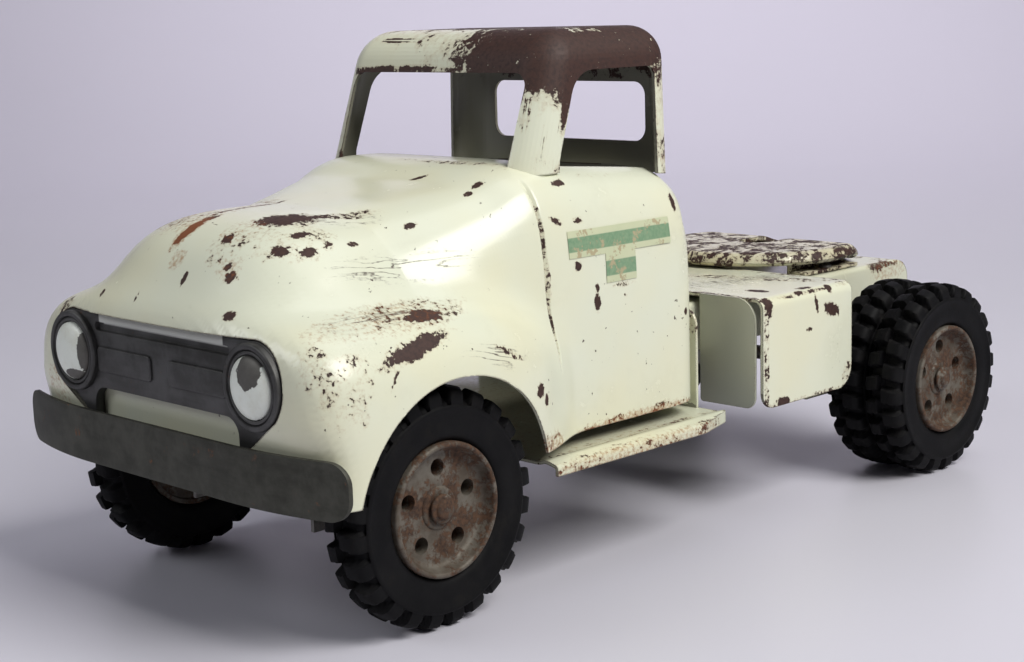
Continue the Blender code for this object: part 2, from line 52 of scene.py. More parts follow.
TYRE_WIDTH = 12.4
DISC_RADIUS = 17.0
WHEELBASE = 205.0
WHEEL_X = {"front": 52.3, "inner": 51.6, "outer": 65.9}
AXLE_RADIUS = 2.4
HUB_FACE = TYRE_WIDTH / 2 - 2.8
BODY_FLOOR = 38.0
CAB_BACK = 109.0
FENDER_WIDTH = 64.0
SADDLE_TOP = 64.8
DECK_TOP = 61.8
RISER_Y = 112.0
PAN_Z = 34.0
GRILLE_Y = -38.0
LAMP_X = 38.5
LAMP_Z = 65.3
ARCH_RADIUS = 33.4
ARCH_Y = 1.5


# ---- shape helpers -------------------------------------------------------------------------------

def placed(points):
    return (np.asarray(points, float) - (0.0, CENTRE_Y, 0.0)) * MM


def raw(name, points, faces):
    """A mesh object from points in millimetres, with faces turned outwards."""
    mesh = bpy.data.meshes.new(name)
    mesh.from_pydata(placed(points).tolist(), [], faces)
    bm = bmesh.new()
    bm.from_mesh(mesh)
    bmesh.ops.remove_doubles(bm, verts=bm.verts, dist=1e-7)
    bmesh.ops.recalc_face_normals(bm, faces=bm.faces)
    if bm.calc_volume(signed=True) < 0:
        bmesh.ops.reverse_faces(bm, faces=bm.faces)
    bm.to_mesh(mesh)
    bm.free()
    obj = bpy.data.objects.new(name, mesh)
    bpy.context.scene.collection.objects.link(obj)
    return obj


def baked(obj):
    """Applies the object's modifiers."""
    graph = bpy.context.evaluated_depsgraph_get()
    mesh = bpy.data.meshes.new_from_object(obj.evaluated_get(graph))
    obj.modifiers.clear()
    obj.data = mesh
    return obj


def carve(obj, tools, operation="DIFFERENCE"):
    for tool in tools:
        step = obj.modifiers.new("cut", "BOOLEAN")
        step.operation = operation
        step.solver = "EXACT"
        step.object = tool
    baked(obj)
    for tool in tools:
        bpy.data.objects.remove(tool)
    return obj


def rounded_edges(obj, width, segments=3, angle=30):
    step = obj.modifiers.new("round", "BEVEL")
    step.width = width * MM
    step.segments = segments
    step.limit_method = "ANGLE"
    step.angle_limit = math.radians(angle)
    step.harden_normals = False
    step.miter_outer = "MITER_ARC"
    return baked(obj)


def thickened(obj, thick, offset=-1.0):
    step = obj.modifiers.new("thick", "SOLIDIFY")
    step.thickness = thick * MM
    step.offset = offset
    return baked(obj)


WEAR = {}
NO_WEAR = -2.0
FINE_SPAN = 1.2
FINE_ENOUGH = 24000


def patch_of(row):
    """Centre, half sizes, cap and turn of a patch, from a row that may leave out the last two."""
    row = tuple(row) + (1.0, 0, 0, 0)[len(row) - 6:]
    return row[:3], row[3:6], row[6], [math.radians(a) for a in row[7:]]


def patch_field(points, rows):
    """For each point: 1 at a patch's centre, 0 on its edge, below 0 outside; at most the patch's cap."""
    field = np.full(len(points), NO_WEAR)
    for centre, half, cap, turn in map(patch_of, rows):
        local = (points - placed(centre)) @ np.array(Euler(turn).to_matrix()) / (np.array(half) * MM)
        field = np.maximum(field, np.minimum(1 - np.linalg.norm(local, axis=1), cap))
    return field


def coordinates(mesh):
    found = np.empty(3 * len(mesh.vertices))
    mesh.vertices.foreach_get("co", found)
    return found.reshape(-1, 3)


def mark_wear(obj, chips, rust):
    """Stores how chipped and how rusty each vertex is, less NO_WEAR, so that 0 stands for no wear."""
    for fineness in range(4):
        mesh = obj.data
        ends = np.empty(2 * len(mesh.edges), np.int32)
        mesh.edges.foreach_get("vertices", ends)
        at = coordinates(mesh)
        spans = np.linalg.norm(at[ends[::2]] - at[ends[1::2]], axis=1)
        if len(chips) < 4 or len(at) > FINE_ENOUGH or np.quantile(spans, 0.98) < FINE_SPAN * MM:
            break
        obj.modifiers.new("threes", "TRIANGULATE")
        step = obj.modifiers.new("fine", "SUBSURF")
        step.subdivision_type = "SIMPLE"
        step.levels = step.render_levels = 1
        baked(obj)
    points = coordinates(obj.data)
    for name, rows in (("chipped", chips), ("rusted", rust)):
        layer = obj.data.attributes.new(name, "FLOAT", "POINT")
        layer.data.foreach_set("value", (patch_field(points, rows) - NO_WEAR).astype(np.float32))


def finished(obj, material, nodes=(), body="root", smooth=35):
    """Gives a piece its material and shading and puts it on its body of the frame."""
    if material.name in WEAR:
        mark_wear(obj, *WEAR[material.name])
    obj.data.materials.clear()
    obj.data.materials.append(material)
    obj.data.shade_smooth()
    obj.data.set_sharp_from_angle(angle=math.radians(smooth))
    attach(obj, body)
    if nodes:
        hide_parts(*nodes)
    return obj


def arc(centre, radius, start, end, steps):
    """Points on an arc, with angles in degrees."""
    angles = np.radians(np.linspace(start, end, steps + 1))
    return [(centre[0] + radius * math.cos(a), centre[1] + radius * math.sin(a)) for a in angles]


def rounded(corners, steps=8):
    """The outline through corners (u, v, radius), with each corner turned into an arc."""
    outline = []
    count = len(corners)
    for i, (u, v, radius) in enumerate(corners):
        here = Vector((u, v))
        before = (Vector(corners[i - 1][:2]) - here).normalized()
        after = (Vector(corners[(i + 1) % count][:2]) - here).normalized()
        if radius <= 0:
            outline.append((u, v))
            continue
        half = before.angle(after) / 2
        centre = here + (before + after).normalized() * (radius / math.sin(half))
        start = here + before * (radius / math.tan(half)) - centre
        sweep = start.angle_signed(here + after * (radius / math.tan(half)) - centre)
        for k in range(steps + 1):
            turned = start.copy()
            turned.rotate(Matrix.Rotation(-sweep * k / steps, 2))
            outline.append(tuple(centre + turned))
    return outline


def prism(name, outline, low, high, axis="Y"):
    """A flat outline pushed from low to high along axis; (u, v) are the other two axes in order."""
    points = []
    for w in (low, high):
        points += [{"X": (w, u, v), "Y": (u, w, v), "Z": (u, v, w)}[axis] for u, v in outline]
    count = len(outline)
    faces = [tuple(range(count)), tuple(range(2 * count - 1, count - 1, -1))]
    faces += [(k, (k + 1) % count, count + (k + 1) % count, count + k) for k in range(count)]
    return raw(name, points, faces)


def box(name, low, high):
    """A plain block between two opposite corners."""
    (x0, y0, z0), (x1, y1, z1) = low, high
    return prism(name, [(x0, z0), (x1, z0), (x1, z1), (x0, z1)], y0, y1)


def grid_faces(rows, columns, wrap_rows=False, wrap_columns=False):
    faces = []
    for r in range(rows if wrap_rows else rows - 1):
        for c in range(columns if wrap_columns else columns - 1):
            a, b = r * columns + c, r * columns + (c + 1) % columns
            d, e = ((r + 1) % rows) * columns + c, ((r + 1) % rows) * columns + (c + 1) % columns
            faces.append((a, b, e, d))
    return faces


def lathe(name, profile, centre, axis="X", side=1, steps=96):
    """A closed (radius, height) profile turned about an axis; +height points along side * axis."""
    points = []
    for k in range(steps):
        a = 2 * math.pi * k / steps
        for r, h in profile:
            u, v, w = r * math.cos(a), r * math.sin(a), side * h
            x, y, z = {"X": (w, u, v), "Y": (u, w, v), "Z": (u, v, w)}[axis]
            points.append((centre[0] + x, centre[1] + y, centre[2] + z))
    return raw(name, points, grid_faces(steps, len(profile), True, True))


def rod(name, radius, low, high, y, z, axis="X", steps=48):
    outline = [(y + radius * math.cos(a), z + radius * math.sin(a))
               for a in np.linspace(0, 2 * math.pi, steps, endpoint=False)]
    return prism(name, outline, low, high, axis)


# ---- node materials ------------------------------------------------------------------------------

class Nodes:
    """A short way to write a material's node tree."""

    def __init__(self, name):
        self.material = bpy.data.materials.new(name)
        self.material.use_nodes = True
        self.tree = self.material.node_tree
        self.shader = self.tree.nodes["Principled BSDF"]
        self.place = self.new("ShaderNodeTexCoord").outputs["Object"]

    def new(self, kind, **settings):
        node = self.tree.nodes.new(kind)
        for key, value in settings.items():
            setattr(node, key, value)
        return node

    def put(self, socket, value):
        if isinstance(value, bpy.types.NodeSocket):
            self.tree.links.new(value, socket)
        elif value is not None:
            socket.default_value = value

    def math(self, operation, a, b=None, c=None, clamp=False):
        node = self.new("ShaderNodeMath", operation=operation, use_clamp=clamp)
        for socket, value in zip(node.inputs, (a, b, c)):
            self.put(socket, value)
        return node.outputs[0]

    def plus(self, a, b):
        return self.math("ADD", a, b)

    def minus(self, a, b):
        return self.math("SUBTRACT", a, b)

    def times(self, a, b):
        return self.math("MULTIPLY", a, b)

    def scaled(self, value, scale, added):
        return self.math("MULTIPLY_ADD", value, scale, added)

    def largest(self, fields):
        total = fields[0]
        for field in fields[1:]:
            total = self.math("MAXIMUM", total, field)
        return total

    def noise(self, scale, detail=6.0, rough=0.6, distort=0.0, stretch=(1, 1, 1), shift=(0, 0, 0)):
        """Fractal noise with a feature size of about 1 / scale millimetres."""
        node = self.new("ShaderNodeTexNoise")
        moved = self.new("ShaderNodeMapping")
        self.put(moved.inputs["Vector"], self.place)
        moved.inputs["Scale"].default_value = stretch
        moved.inputs["Location"].default_value = shift
        self.put(node.inputs["Vector"], moved.outputs[0])
        for key, value in (("Scale", scale * 1000), ("Detail", detail), ("Roughness", rough),
                           ("Distortion", distort)):
            node.inputs[key].default_value = value
        return node.outputs["Fac"]

    def step(self, value, low, high):
        """0 below low, 1 above high, smooth between."""
        node = self.new("ShaderNodeMapRange", interpolation_type="SMOOTHSTEP")
        for key, number in (("Value", value), ("From Min", low), ("From Max", high), ("To Min", 0.0),
                            ("To Max", 1.0)):
            self.put(node.inputs[key], number)
        return node.outputs[0]

    def blend(self, amount, a, b):
        node = self.new("ShaderNodeMix", data_type="RGBA")
        self.put(node.inputs["Factor"], amount)
        self.put(node.inputs["A"], a if isinstance(a, bpy.types.NodeSocket) else (*a, 1.0))
        self.put(node.inputs["B"], b if isinstance(b, bpy.types.NodeSocket) else (*b, 1.0))
        return node.outputs["Result"]

    def between(self, amount, a, b):
        """A number between a and b."""
        node = self.new("ShaderNodeMix", data_type="FLOAT")
        self.put(node.inputs["Factor"], amount)
        self.put(node.inputs["A"], a)
        self.put(node.inputs["B"], b)
        return node.outputs["Result"]

    def within(self, centre, half, turn):
        """The place in an ellipsoid's own frame and the distance from its centre, 1 on its surface."""
        node = self.new("ShaderNodeMapping", vector_type="TEXTURE")
        self.put(node.inputs["Vector"], self.place)
        node.inputs["Location"].default_value = placed(centre).tolist()
        node.inputs["Rotation"].default_value = turn
        node.inputs["Scale"].default_value = [value * MM for value in half]
        length = self.new("ShaderNodeVectorMath", operation="LENGTH")
        self.put(length.inputs[0], node.outputs[0])
        return node.outputs[0], length.outputs["Value"]

    def patch(self, row):
        """1 at the centre of an ellipsoid, 0 on its surface, below 0 outside; at most the row's cap."""
        centre, half, cap, turn = patch_of(row)
        field = self.minus(1.0, self.within(centre, half, turn)[1])
        return field if cap >= 1 else self.math("MINIMUM", field, cap)

    def scratches(self, row, grain):
        """Thin lines along the local y axis inside an ellipsoid, which fade out raggedly at its edge."""
        centre, half, _, turn = patch_of(row)
        width, spacing, run = 0.035, 1.7, 21.0
        local, length = self.within(centre, half, turn)
        spread = self.new("ShaderNodeVectorMath", operation="MULTIPLY")
        self.put(spread.inputs[0], local)
        spread.inputs[1].default_value = (half[0] / spacing, half[1] / run, half[2] / spacing)
        waves = self.new("ShaderNodeTexNoise")
        self.put(waves.inputs["Vector"], spread.outputs[0])
        for key, value in (("Scale", 1.0), ("Detail", 2.0), ("Roughness", 0.5)):
            waves.inputs[key].default_value = value
        off = self.math("ABSOLUTE", self.minus(waves.outputs["Fac"], 0.5))
        line = self.minus(1.0, self.step(off, 0.4 * width, width))
        inside = self.step(self.plus(self.minus(1.0, length), self.scaled(grain, 1.6, -0.85)), 0.0, 0.9)
        return self.times(line, inside)

    def facing(self, centre):
        """1 where the surface faces a point given in millimetres, so on the inner side of a shell."""
        away = self.new("ShaderNodeVectorMath", operation="SUBTRACT")
        self.put(away.inputs[0], self.place)
        away.inputs[1].default_value = placed(centre).tolist()
        dot = self.new("ShaderNodeVectorMath", operation="DOT_PRODUCT")
        self.put(dot.inputs[0], away.outputs[0])
        self.put(dot.inputs[1], self.new("ShaderNodeTexCoord").outputs["Normal"])
        return self.minus(1.0, self.step(dot.outputs["Value"], -0.8 * MM, 0.8 * MM))

    def stored(self, name):
        """A number kept on the vertices of the piece."""
        node = self.new("ShaderNodeAttribute", attribute_type="GEOMETRY")
        node.attribute_name = name
        return node.outputs["Fac"]

    def edges(self, radius):
        """About 1 on sharp outer and inner edges, 0 away from them."""
        soft = self.new("ShaderNodeBevel", samples=6)
        soft.inputs["Radius"].default_value = radius * MM
        plain = self.new("ShaderNodeNewGeometry")
        dot = self.new("ShaderNodeVectorMath", operation="DOT_PRODUCT")
        self.put(dot.inputs[0], soft.outputs[0])
        self.put(dot.inputs[1], plain.outputs["Normal"])
        return self.math("SUBTRACT", 1.0, dot.outputs["Value"], clamp=True)

    def bump(self, height, depth):
        """Raises or lowers the surface by height * depth millimetres."""
        node = self.new("ShaderNodeBump")
        node.inputs["Strength"].default_value = 1.0
        node.inputs["Distance"].default_value = depth * MM
        self.put(node.inputs["Height"], height)
        self.put(self.shader.inputs["Normal"], node.outputs[0])

    def finish(self, color, roughness, metallic=0.0):
        self.put(self.shader.inputs["Base Color"], color)
        self.put(self.shader.inputs["Roughness"], roughness)
        self.put(self.shader.inputs["Metallic"], metallic)
        return self.material


CREAM = (0.72, 0.745, 0.60)
PRIMER = (0.046, 0.017, 0.011)
DARK_PRIMER = (0.030, 0.012, 0.009)
RUST = (0.19, 0.060, 0.018)
RUSTY_PAINT = (0.40, 0.22, 0.10)
STAIN = (0.46, 0.33, 0.19)
GRIME = (0.50, 0.50, 0.38)
CREVICE_DIRT = (0.42, 0.37, 0.25)
# Dark olive painted shade for the inner and under sides of the shells.
SHADED_SHELL_INSIDE = (0.25, 0.245, 0.195)
# Pale grey of the painted highlight on the grille's top band, where bare metal catches light.
STRIP_HIGHLIGHT = (0.50, 0.51, 0.47)
LABEL_GREEN = (0.045, 0.20, 0.105)
CHIP_DEPTH = 0.09


def enamel(name, chips=(), rust=(), scratches=(), specks=0.5, edge_wear=0.5, wear=NO_WEAR, flecks=0.0,
           tint=CREAM, fray=1.3, hollow=None):
    """Pale gloss enamel, chipped to brown primer and rust at the placed patches.

    specks: how many small chips lie outside the patches; edge_wear: how bare the edges are; wear: the least
    wear anywhere; flecks: how much paint is left in the patches; fray: how ragged their outlines are;
    hollow: a point that the inner or under side of a shell faces; that side gets painted shade.
    """
    n = Nodes(name)
    WEAR[name] = (chips, rust)
    coarse = n.noise(0.16, 8, 0.68, 0.3)
    fine = n.noise(0.9, 6, 0.62)
    cloud = n.noise(0.022, 3, 0.5, shift=(0.3, 0.1, 0.7))
    torn = n.noise(0.38, 8, 0.72, 0.5, stretch=(1.3, 0.75, 1.1), shift=(0.6, 0.1, 0.8))
    ragged = n.scaled(coarse, 1.3, n.scaled(torn, 1.1, n.scaled(fine, fray, -1.24 - 0.53 * fray)))
    edge = n.step(n.edges(0.9), 0.02, 0.30)
    patchy = n.step(n.noise(0.10, 5, 0.65, shift=(0.9, 0, 0)), 0.30, 0.55)
    bare_edge = n.times(edge, n.times(patchy, edge_wear))
    worn_edge = n.step(n.minus(bare_edge, n.noise(0.8, 4, 0.7, shift=(0, 0.4, 0))), -0.02, 0.06)
    field = n.math("MAXIMUM", n.plus(n.stored("chipped"), NO_WEAR), wear)
    open_patch = n.step(n.plus(field, ragged), -0.03, 0.03)
    if flecks:
        least = 0.70 - 0.1 * flecks
        kept = n.step(n.noise(0.5, 7, 0.7, shift=(0.2, 0.6, 0.1)), least, least + 0.03)
        open_patch = n.times(open_patch, n.minus(1.0, kept))
    speckle = n.plus(n.noise(0.55, 4, 0.6, shift=(0.5, 0.5, 0.2)),
                     n.times(n.noise(0.07, 3, 0.5, shift=(0.7, 0, 0.3)), 0.30))
    dots = n.step(speckle, 0.93 - 0.07 * specks, 0.95 - 0.07 * specks)
    lines = n.plus(0.0, 0.0)
    for row in scratches:
        lines = n.math("MAXIMUM", lines, n.scratches(row, fine))
    chip = n.largest([open_patch, worn_edge, dots, n.times(lines, 0.85)])
    halo = n.step(n.plus(field, ragged), -0.32, 0.05)
    rusty = n.plus(n.stored("rusted"), NO_WEAR)
    orange = n.step(n.plus(rusty, n.scaled(fine, 1.6, -0.9)), -0.10, 0.45)
    warmer = (tint[0] * 1.03, tint[1] * 0.985, tint[2] * 0.90)
    paint = n.blend(n.step(cloud, 0.35, 0.70), tint, warmer)
    grime = n.step(n.noise(0.05, 7, 0.7, shift=(0.1, 0.2, 0.3)), 0.52, 0.86)
    paint = n.blend(n.times(grime, 0.30), paint, GRIME)
    crevice = n.step(n.edges(2.2), 0.05, 0.9)
    paint = n.blend(n.times(crevice, 0.25), paint, CREVICE_DIRT)
    paint = n.blend(n.times(halo, 0.38), paint, STAIN)
    under = n.blend(n.step(fine, 0.42, 0.66), PRIMER, DARK_PRIMER)
    under = n.blend(orange, under, RUST)
    paint = n.blend(n.times(orange, 0.75), paint, RUSTY_PAINT)
    # Painted shade: the sides that face the hollow point (inner sides of shells, or undersides) are
    # darkened.
    if hollow:
        paint = n.blend(n.facing(hollow), paint, SHADED_SHELL_INSIDE)
    color = n.blend(chip, paint, under)
    rough = n.between(chip, n.between(grime, 0.22, 0.40), n.between(fine, 0.50, 0.80))
    n.bump(n.minus(n.times(fine, 0.10), chip), CHIP_DEPTH)
    return n.finish(color, rough)


def old_steel(name, bright, dark, rust_amount=0.5, metal=0.85, base_rough=0.42,
              brown=((0.060, 0.026, 0.014), (0.17, 0.075, 0.035)), lit_strip=None):
    """Bare or plated steel gone dull, with blotches of brown rust.

    lit_strip: the height above which, and the distance from the middle within which, the metal is covered
    by a pale painted highlight where it catches light.
    """
    n = Nodes(name)
    cloud = n.noise(0.09, 7, 0.66, 0.2)
    fine = n.noise(0.9, 5, 0.6)
    brushed = n.noise(0.25, 4, 0.6, stretch=(0.12, 1, 1))
    color = n.blend(n.step(cloud, 0.36, 0.66), dark, bright)
    color = n.blend(n.times(n.step(brushed, 0.4, 0.7), 0.25), color, [min(1, 1.3 * v) for v in bright])
    spots = n.plus(n.times(n.noise(0.13, 8, 0.7, shift=(0.4, 0.2, 0.6)), 1.0), n.times(fine, 0.35))
    edge = n.step(n.edges(0.8), 0.1, 0.6)
    rust = n.step(n.plus(spots, n.times(edge, 0.06)), 0.84 - 0.14 * rust_amount, 0.98 - 0.16 * rust_amount)
    color = n.blend(rust, color, n.blend(n.step(fine, 0.35, 0.66), *brown))
    # Painted highlight: a pale non-metal band stands in for the light the grille's top band catches.
    if lit_strip:
        low, half = lit_strip[0] * MM, lit_strip[1] * MM
        at = n.new("ShaderNodeSeparateXYZ")
        n.put(at.inputs[0], n.place)
        above = n.step(at.outputs["Z"], low, low + 0.4 * MM)
        beside = n.step(n.math("ABSOLUTE", at.outputs["X"]), half, half + 0.5 * MM)
        inside = n.times(above, n.minus(1.0, beside))
        color = n.blend(n.times(inside, n.minus(1.0, n.times(rust, 0.6))), color, STRIP_HIGHLIGHT)
        metal = n.times(metal, n.minus(1.0, inside))
    rough = n.between(rust, n.between(cloud, base_rough, base_rough + 0.2), 0.85)
    n.bump(n.plus(n.times(fine, 0.5), rust), 0.05)
    return n.finish(color, rough, n.between(rust, metal, 0.05))


def tyre_rubber():
    """Dull black rubber, a little greyer where dust clings."""
    n = Nodes("tyre_rubber")
    fine = n.noise(1.6, 4, 0.6)
    cloud = n.noise(0.07, 5, 0.6)
    dust = n.step(n.plus(n.noise(0.18, 7, 0.72), n.times(fine, 0.2)), 0.60, 0.86)
    color = n.blend(n.step(cloud, 0.35, 0.7), (0.0035, 0.0035, 0.0042), (0.0070, 0.0068, 0.0074))
    color = n.blend(n.times(dust, 0.30), color, (0.030, 0.027, 0.024))
    n.bump(n.scaled(fine, 0.6, n.times(dust, 0.3)), 0.05)
    n.shader.inputs["Specular IOR Level"].default_value = 0.12
    return n.finish(color, n.between(dust, n.between(fine, 0.50, 0.68), 0.9))


def label_paper():
    """A faded water-slide label, light green with a darker band; it carries no lettering."""
    n = Nodes("door_label")
    fine = n.noise(0.9, 5, 0.65)
    worn = n.step(n.plus(n.noise(0.25, 7, 0.7), n.times(fine, 0.3)), 0.70, 0.76)
    at = n.new("ShaderNodeSeparateXYZ")
    n.put(at.inputs[0], n.place)

    def stripe(low, high):
        below = n.step(at.outputs["Z"], low * MM, (low + 0.3) * MM)
        return n.times(below, n.minus(1.0, n.step(at.outputs["Z"], high * MM, (high + 0.3) * MM)))

    band, stem = stripe(86.3, 90.1), stripe(78.5, 82.6)
    ink = n.times(n.math("ADD", band, stem, clamp=True), n.scaled(fine, 0.5, 0.45))
    paper = n.blend(n.noise(0.1, 5, 0.6), (0.50, 0.56, 0.36), (0.62, 0.63, 0.43))
    color = n.blend(ink, paper, LABEL_GREEN)
    color = n.blend(worn, color, (0.42, 0.36, 0.22))
    n.bump(n.times(fine, 0.5), 0.04)
    return n.finish(color, n.between(worn, 0.42, 0.7))


def lamp_paint(name, patches):
    """White lamp paint, worn to bare metal at the placed patches."""
    n = Nodes(name)
    fine = n.noise(0.8, 6, 0.62)
    field = n.largest([n.patch(row) for row in patches])
    worn = n.step(n.plus(field, n.scaled(fine, 0.7, -0.35)), -0.02, 0.03)
    metal = n.blend(n.noise(0.5, 5, 0.6), (0.095, 0.090, 0.080), (0.17, 0.165, 0.15))
    paint = n.blend(n.step(n.noise(0.2, 6, 0.65), 0.4, 0.75), (0.84, 0.88, 0.80), (0.74, 0.76, 0.66))
    n.bump(n.minus(n.times(fine, 0.15), worn), 0.08)
    return n.finish(n.blend(worn, paint, metal), n.between(worn, 0.32, 0.55), n.between(worn, 0.0, 0.6))


# Rows of x, y, z and three half sizes in millimetres, then where needed a cap on the field and three
# turns in degrees. A cap of 1 leaves the field as it is; one below 0 leaves only scattered flecks.
BODY_CHIPS = [
    # hood top
    (15.8, -12.5, 100, 5.4, 8, 5, 1, 0, 0, -19), (20.5, 1, 100, 2.3, 9.5, 4, 0.18, 0, 0, -19),
    (-6.2, -24, 97.8, 1.9, 8.5, 2.5, 1, 27, 0, 0), (-9.2, -3, 101, 0.9, 16, 2, 0.3, 0, 0, 4),
    (-25, -8, 98.5, 6, 15, 5, 0.2), (-18, -10, 100, 9, 17, 4, -0.1), (26.4, -16.1, 97.3, 1.5, 3, 2),
    (28, -23.7, 94.4, 2.4, 2.6, 2), (32.1, -18.1, 93.8, 1.4, 2.2, 2), (26, -19, 96, 8, 9, 6, -0.13),
    (11.7, -26.9, 96.5, 2, 1.6, 2), (13, -29, 95, 5, 5, 5, -0.08), (18.7, -32.4, 90.8, 1.4, 1.5, 1.7),
    (21.5, -33.7, 88.6, 2.1, 1.8, 1.6), (5.2, -36, 87.2, 1, 1.5, 2.4), (-27.2, -39, 81.4, 0.8, 1.5, 1.6),
    (-9.9, -40, 82.1, 0.35, 1.5, 3), (-20, -37, 88, 0.9, 1.5, 1.4), (27.8, -39.4, 80.8, 2, 1.5, 1.3),
    (33.2, -5.2, 94.4, 1, 1.6, 1), (31.8, -11.9, 95, 1, 1.4, 1), (-45, -38.5, 76, 3, 3, 3, -0.02),
    # cowl
    (13.2, 35.3, 106.2, 3, 1.1, 2, 1, 0, 0, 40), (34.4, 36.7, 105.3, 1.2, 2.6, 1.2),
    (35.1, 32, 103.2, 0.9, 1.8, 1), (34.3, 12.7, 97, 1.2, 2.2, 1.2), (20, 46, 109.4, 22, 1.6, 1.2, -0.06),
    # fenders
    (52.9, -1, 77.9, 2.8, 6.5, 3), (51, -3, 78, 5.5, 14, 4, -0.1),
    (60.3, -10, 72.2, 2.6, 11.5, 2.5, 1, 11, 0, 7), (62.6, -18.7, 66.5, 1.6, 0.45, 3.9, 0.6, -35, 0, 0),
    (61.9, 20, 66.4, 2, 5, 0.9, 0.2, -28, 0, 0), (60.9, 31, 54.9, 1.8, 1.8, 2), (60, 34, 51.9, 1.6, 1, 1.7),
    (55, -37, 71, 3.5, 3, 8, -0.1), (61, -32, 67, 3, 6, 10, -0.14), (-62, 5, 66, 3, 9, 2.6, 1, -8, 0, 0),
    (-55, -20, 76, 4, 9, 4, -0.04), (60, 36, 40, 5, 7, 3, -0.02), (-60, 36, 40, 5, 7, 3, -0.02),
    # doors and belt
    (49.5, 45.3, 93, 5, 0.75, 8, 0.1), (50.3, 45.7, 80, 4, 0.95, 5.5, 0.05),
    (51, 45.3, 68, 6, 0.55, 10, 0.05), (-49.5, 45.3, 84, 5, 0.7, 15, 0), (44, 56.7, 104.4, 1, 2.6, 1.2),
    (48.6, 50.9, 95.2, 1.5, 2.4, 1, 1, -25, 0, 0), (48.8, 59.1, 94.6, 1.2, 1.8, 1),
    (50.2, 57.2, 82.7, 1.2, 1.5, 1.4), (50.6, 64.1, 72.2, 1.2, 1.2, 2.6), (50.5, 64.3, 75.9, 1, 0.8, 1.3),
    (50.7, 75.6, 72.8, 1, 0.8, 0.9), (50.6, 74.5, 75.9, 1.2, 4.5, 0.9, 0), (47.2, 99.6, 95.7, 2.4, 1.3, 3),
    (50.1, 101.6, 64.4, 1, 0.9, 0.9), (51, 84, 38.2, 3, 26, 1.9, -0.03), (-51, 84, 38.2, 3, 26, 1.9, -0.03),
    (43, 80, 107.3, 2.2, 32, 2.4, -0.08, -4, 0, 0), (-43, 80, 107.3, 2.2, 32, 2.4, -0.08, -4, 0, 0),
    (-50, 78, 60, 3, 5, 3, 0.3, 30, 0, 0),
]
BODY_RUST = [
    (-6.2, -25, 97.4, 3.2, 10, 4, 1, 27, 0, 0), (-1.5, -33, 91.3, 3, 4, 3.5, 0.25),
    (-16, -12, 99.5, 12, 22, 5, 0.12), (19, -32.5, 90.5, 4.5, 4, 4, 0.12), (12, -22, 97.5, 6, 7, 4, 0.1),
    (51, 82, 37.8, 3.5, 30, 2.4, 0.35), (-51, 82, 37.8, 3.5, 30, 2.4, 0.35), (59, 38, 39, 6, 10, 4, 0.25),
    (51, -14, 77.5, 7, 22, 5, 0.08), (0, -38, 47.5, 34, 3, 2.2, 0.35), (-48, -40, 55, 6, 4, 7, 0.15),
]
BODY_SCRATCHES = [
    (50.5, -12, 78, 6, 26, 6), (41, 2, 88.5, 6.5, 26, 5, 1, 0, 0, -14),
    (22, -4, 99, 6, 20, 5, 1, 0, 0, -19), (62, 16, 66.5, 3, 14, 4, 1, -12, 0, 0),
    (-30, 10, 98, 10, 26, 6),
]
CAB_CHIPS = [
    (5, 104, 146, 62, 39, 16), (37, 61, 138, 34, 16, 12), (42, 82, 139, 10, 34, 8),
    (42.2, 63.5, 126, 2, 1.7, 8, 1, -18, 0, 0), (-12, 54.6, 133.4, 28, 3, 1.7, 0.16),
    (-23, 60.4, 141.9, 4, 2, 1.4), (42, 60.4, 118.3, 1.2, 0.9, 1.3), (41.1, 54.9, 115.5, 1, 0.9, 0.8, 0.1),
    (36.6, 51.8, 120.5, 1.3, 1.5, 2, -0.02), (42, 104, 118, 3, 4.5, 15, -0.08),
    (40, 54, 108.6, 9, 12, 1.6, -0.05), (-36, 50, 118, 4, 4, 12, -0.06),
]
CAB_RUST = [
    (42, 104.5, 108, 4, 5, 4, 0.2), (0, 80, 106, 48, 36, 3.5, 0.05),
]
SADDLE_CHIPS = [
    (46.6, 139.7, 64.8, 3.4, 2.2, 2), (57.3, 130.2, 63, 1.8, 2, 4, 0.3), (56.6, 146.1, 64.3, 1.2, 2.4, 1.2),
    (54.2, 151.9, 64.8, 1.3, 3.2, 1.2), (56.7, 161.1, 64.1, 1.6, 1.6, 1.8),
    (58, 161.3, 57.4, 1.5, 4.2, 2, 1, -24, 0, 0), (58, 153.7, 59.7, 1.5, 0.9, 3.2, 1, 12, 0, 0),
    (58, 136.5, 32.8, 2, 4, 1.8), (58, 150.1, 52.9, 1.2, 1.4, 0.7), (58, 128.8, 49, 2, 1.1, 24, 0.02),
    (58, 150, 32.2, 2, 26, 1, 0), (58.2, 150, 64.4, 1.6, 26, 0.9, -0.02),
    (-58, 128.8, 49, 2, 1.1, 24, 0.02),
    (58, 170.5, 35, 3, 3, 4, 0), (0, 127.5, 64.8, 58, 2, 1.5, 0.05),
    (33, 160, 64.8, 24, 3.4, 1.5, -0.02, 0, 0, 19), (-30, 150, 64.8, 20, 9, 1.5, -0.06, 0, 0, -15),
    (-58, 150, 50, 2, 6, 3, 0.4, 20, 0, 0), (0, 172, 64.8, 56, 2.5, 1.5, -0.05),
]
SADDLE_SCRATCHES = [
    (30, 156, 64.8, 34, 12, 2, 1, 0, 0, 70), (0, 140, 64.8, 20, 50, 2, 1, 0, 0, 80),
]
CHASSIS_CHIPS = [
    (33, 226, 61, 4, 7, 2.5, 0.2), (0, 236, 61.8, 34, 7, 2, -0.06), (60, 75, 32.5, 3, 42, 2.2, -0.08),
    (-60, 75, 32.5, 3, 42, 2.2, -0.08), (53, 75, 34, 2, 40, 1.5, -0.1), (44, 112, 60, 4, 3, 5, 0),
]
CHASSIS_RUST = [
    (60, 75, 32, 3, 46, 2.6, 0.18), (0, 75, 33.5, 58, 50, 2, 0.03), (33, 230, 60, 5, 12, 5, 0.15),
]
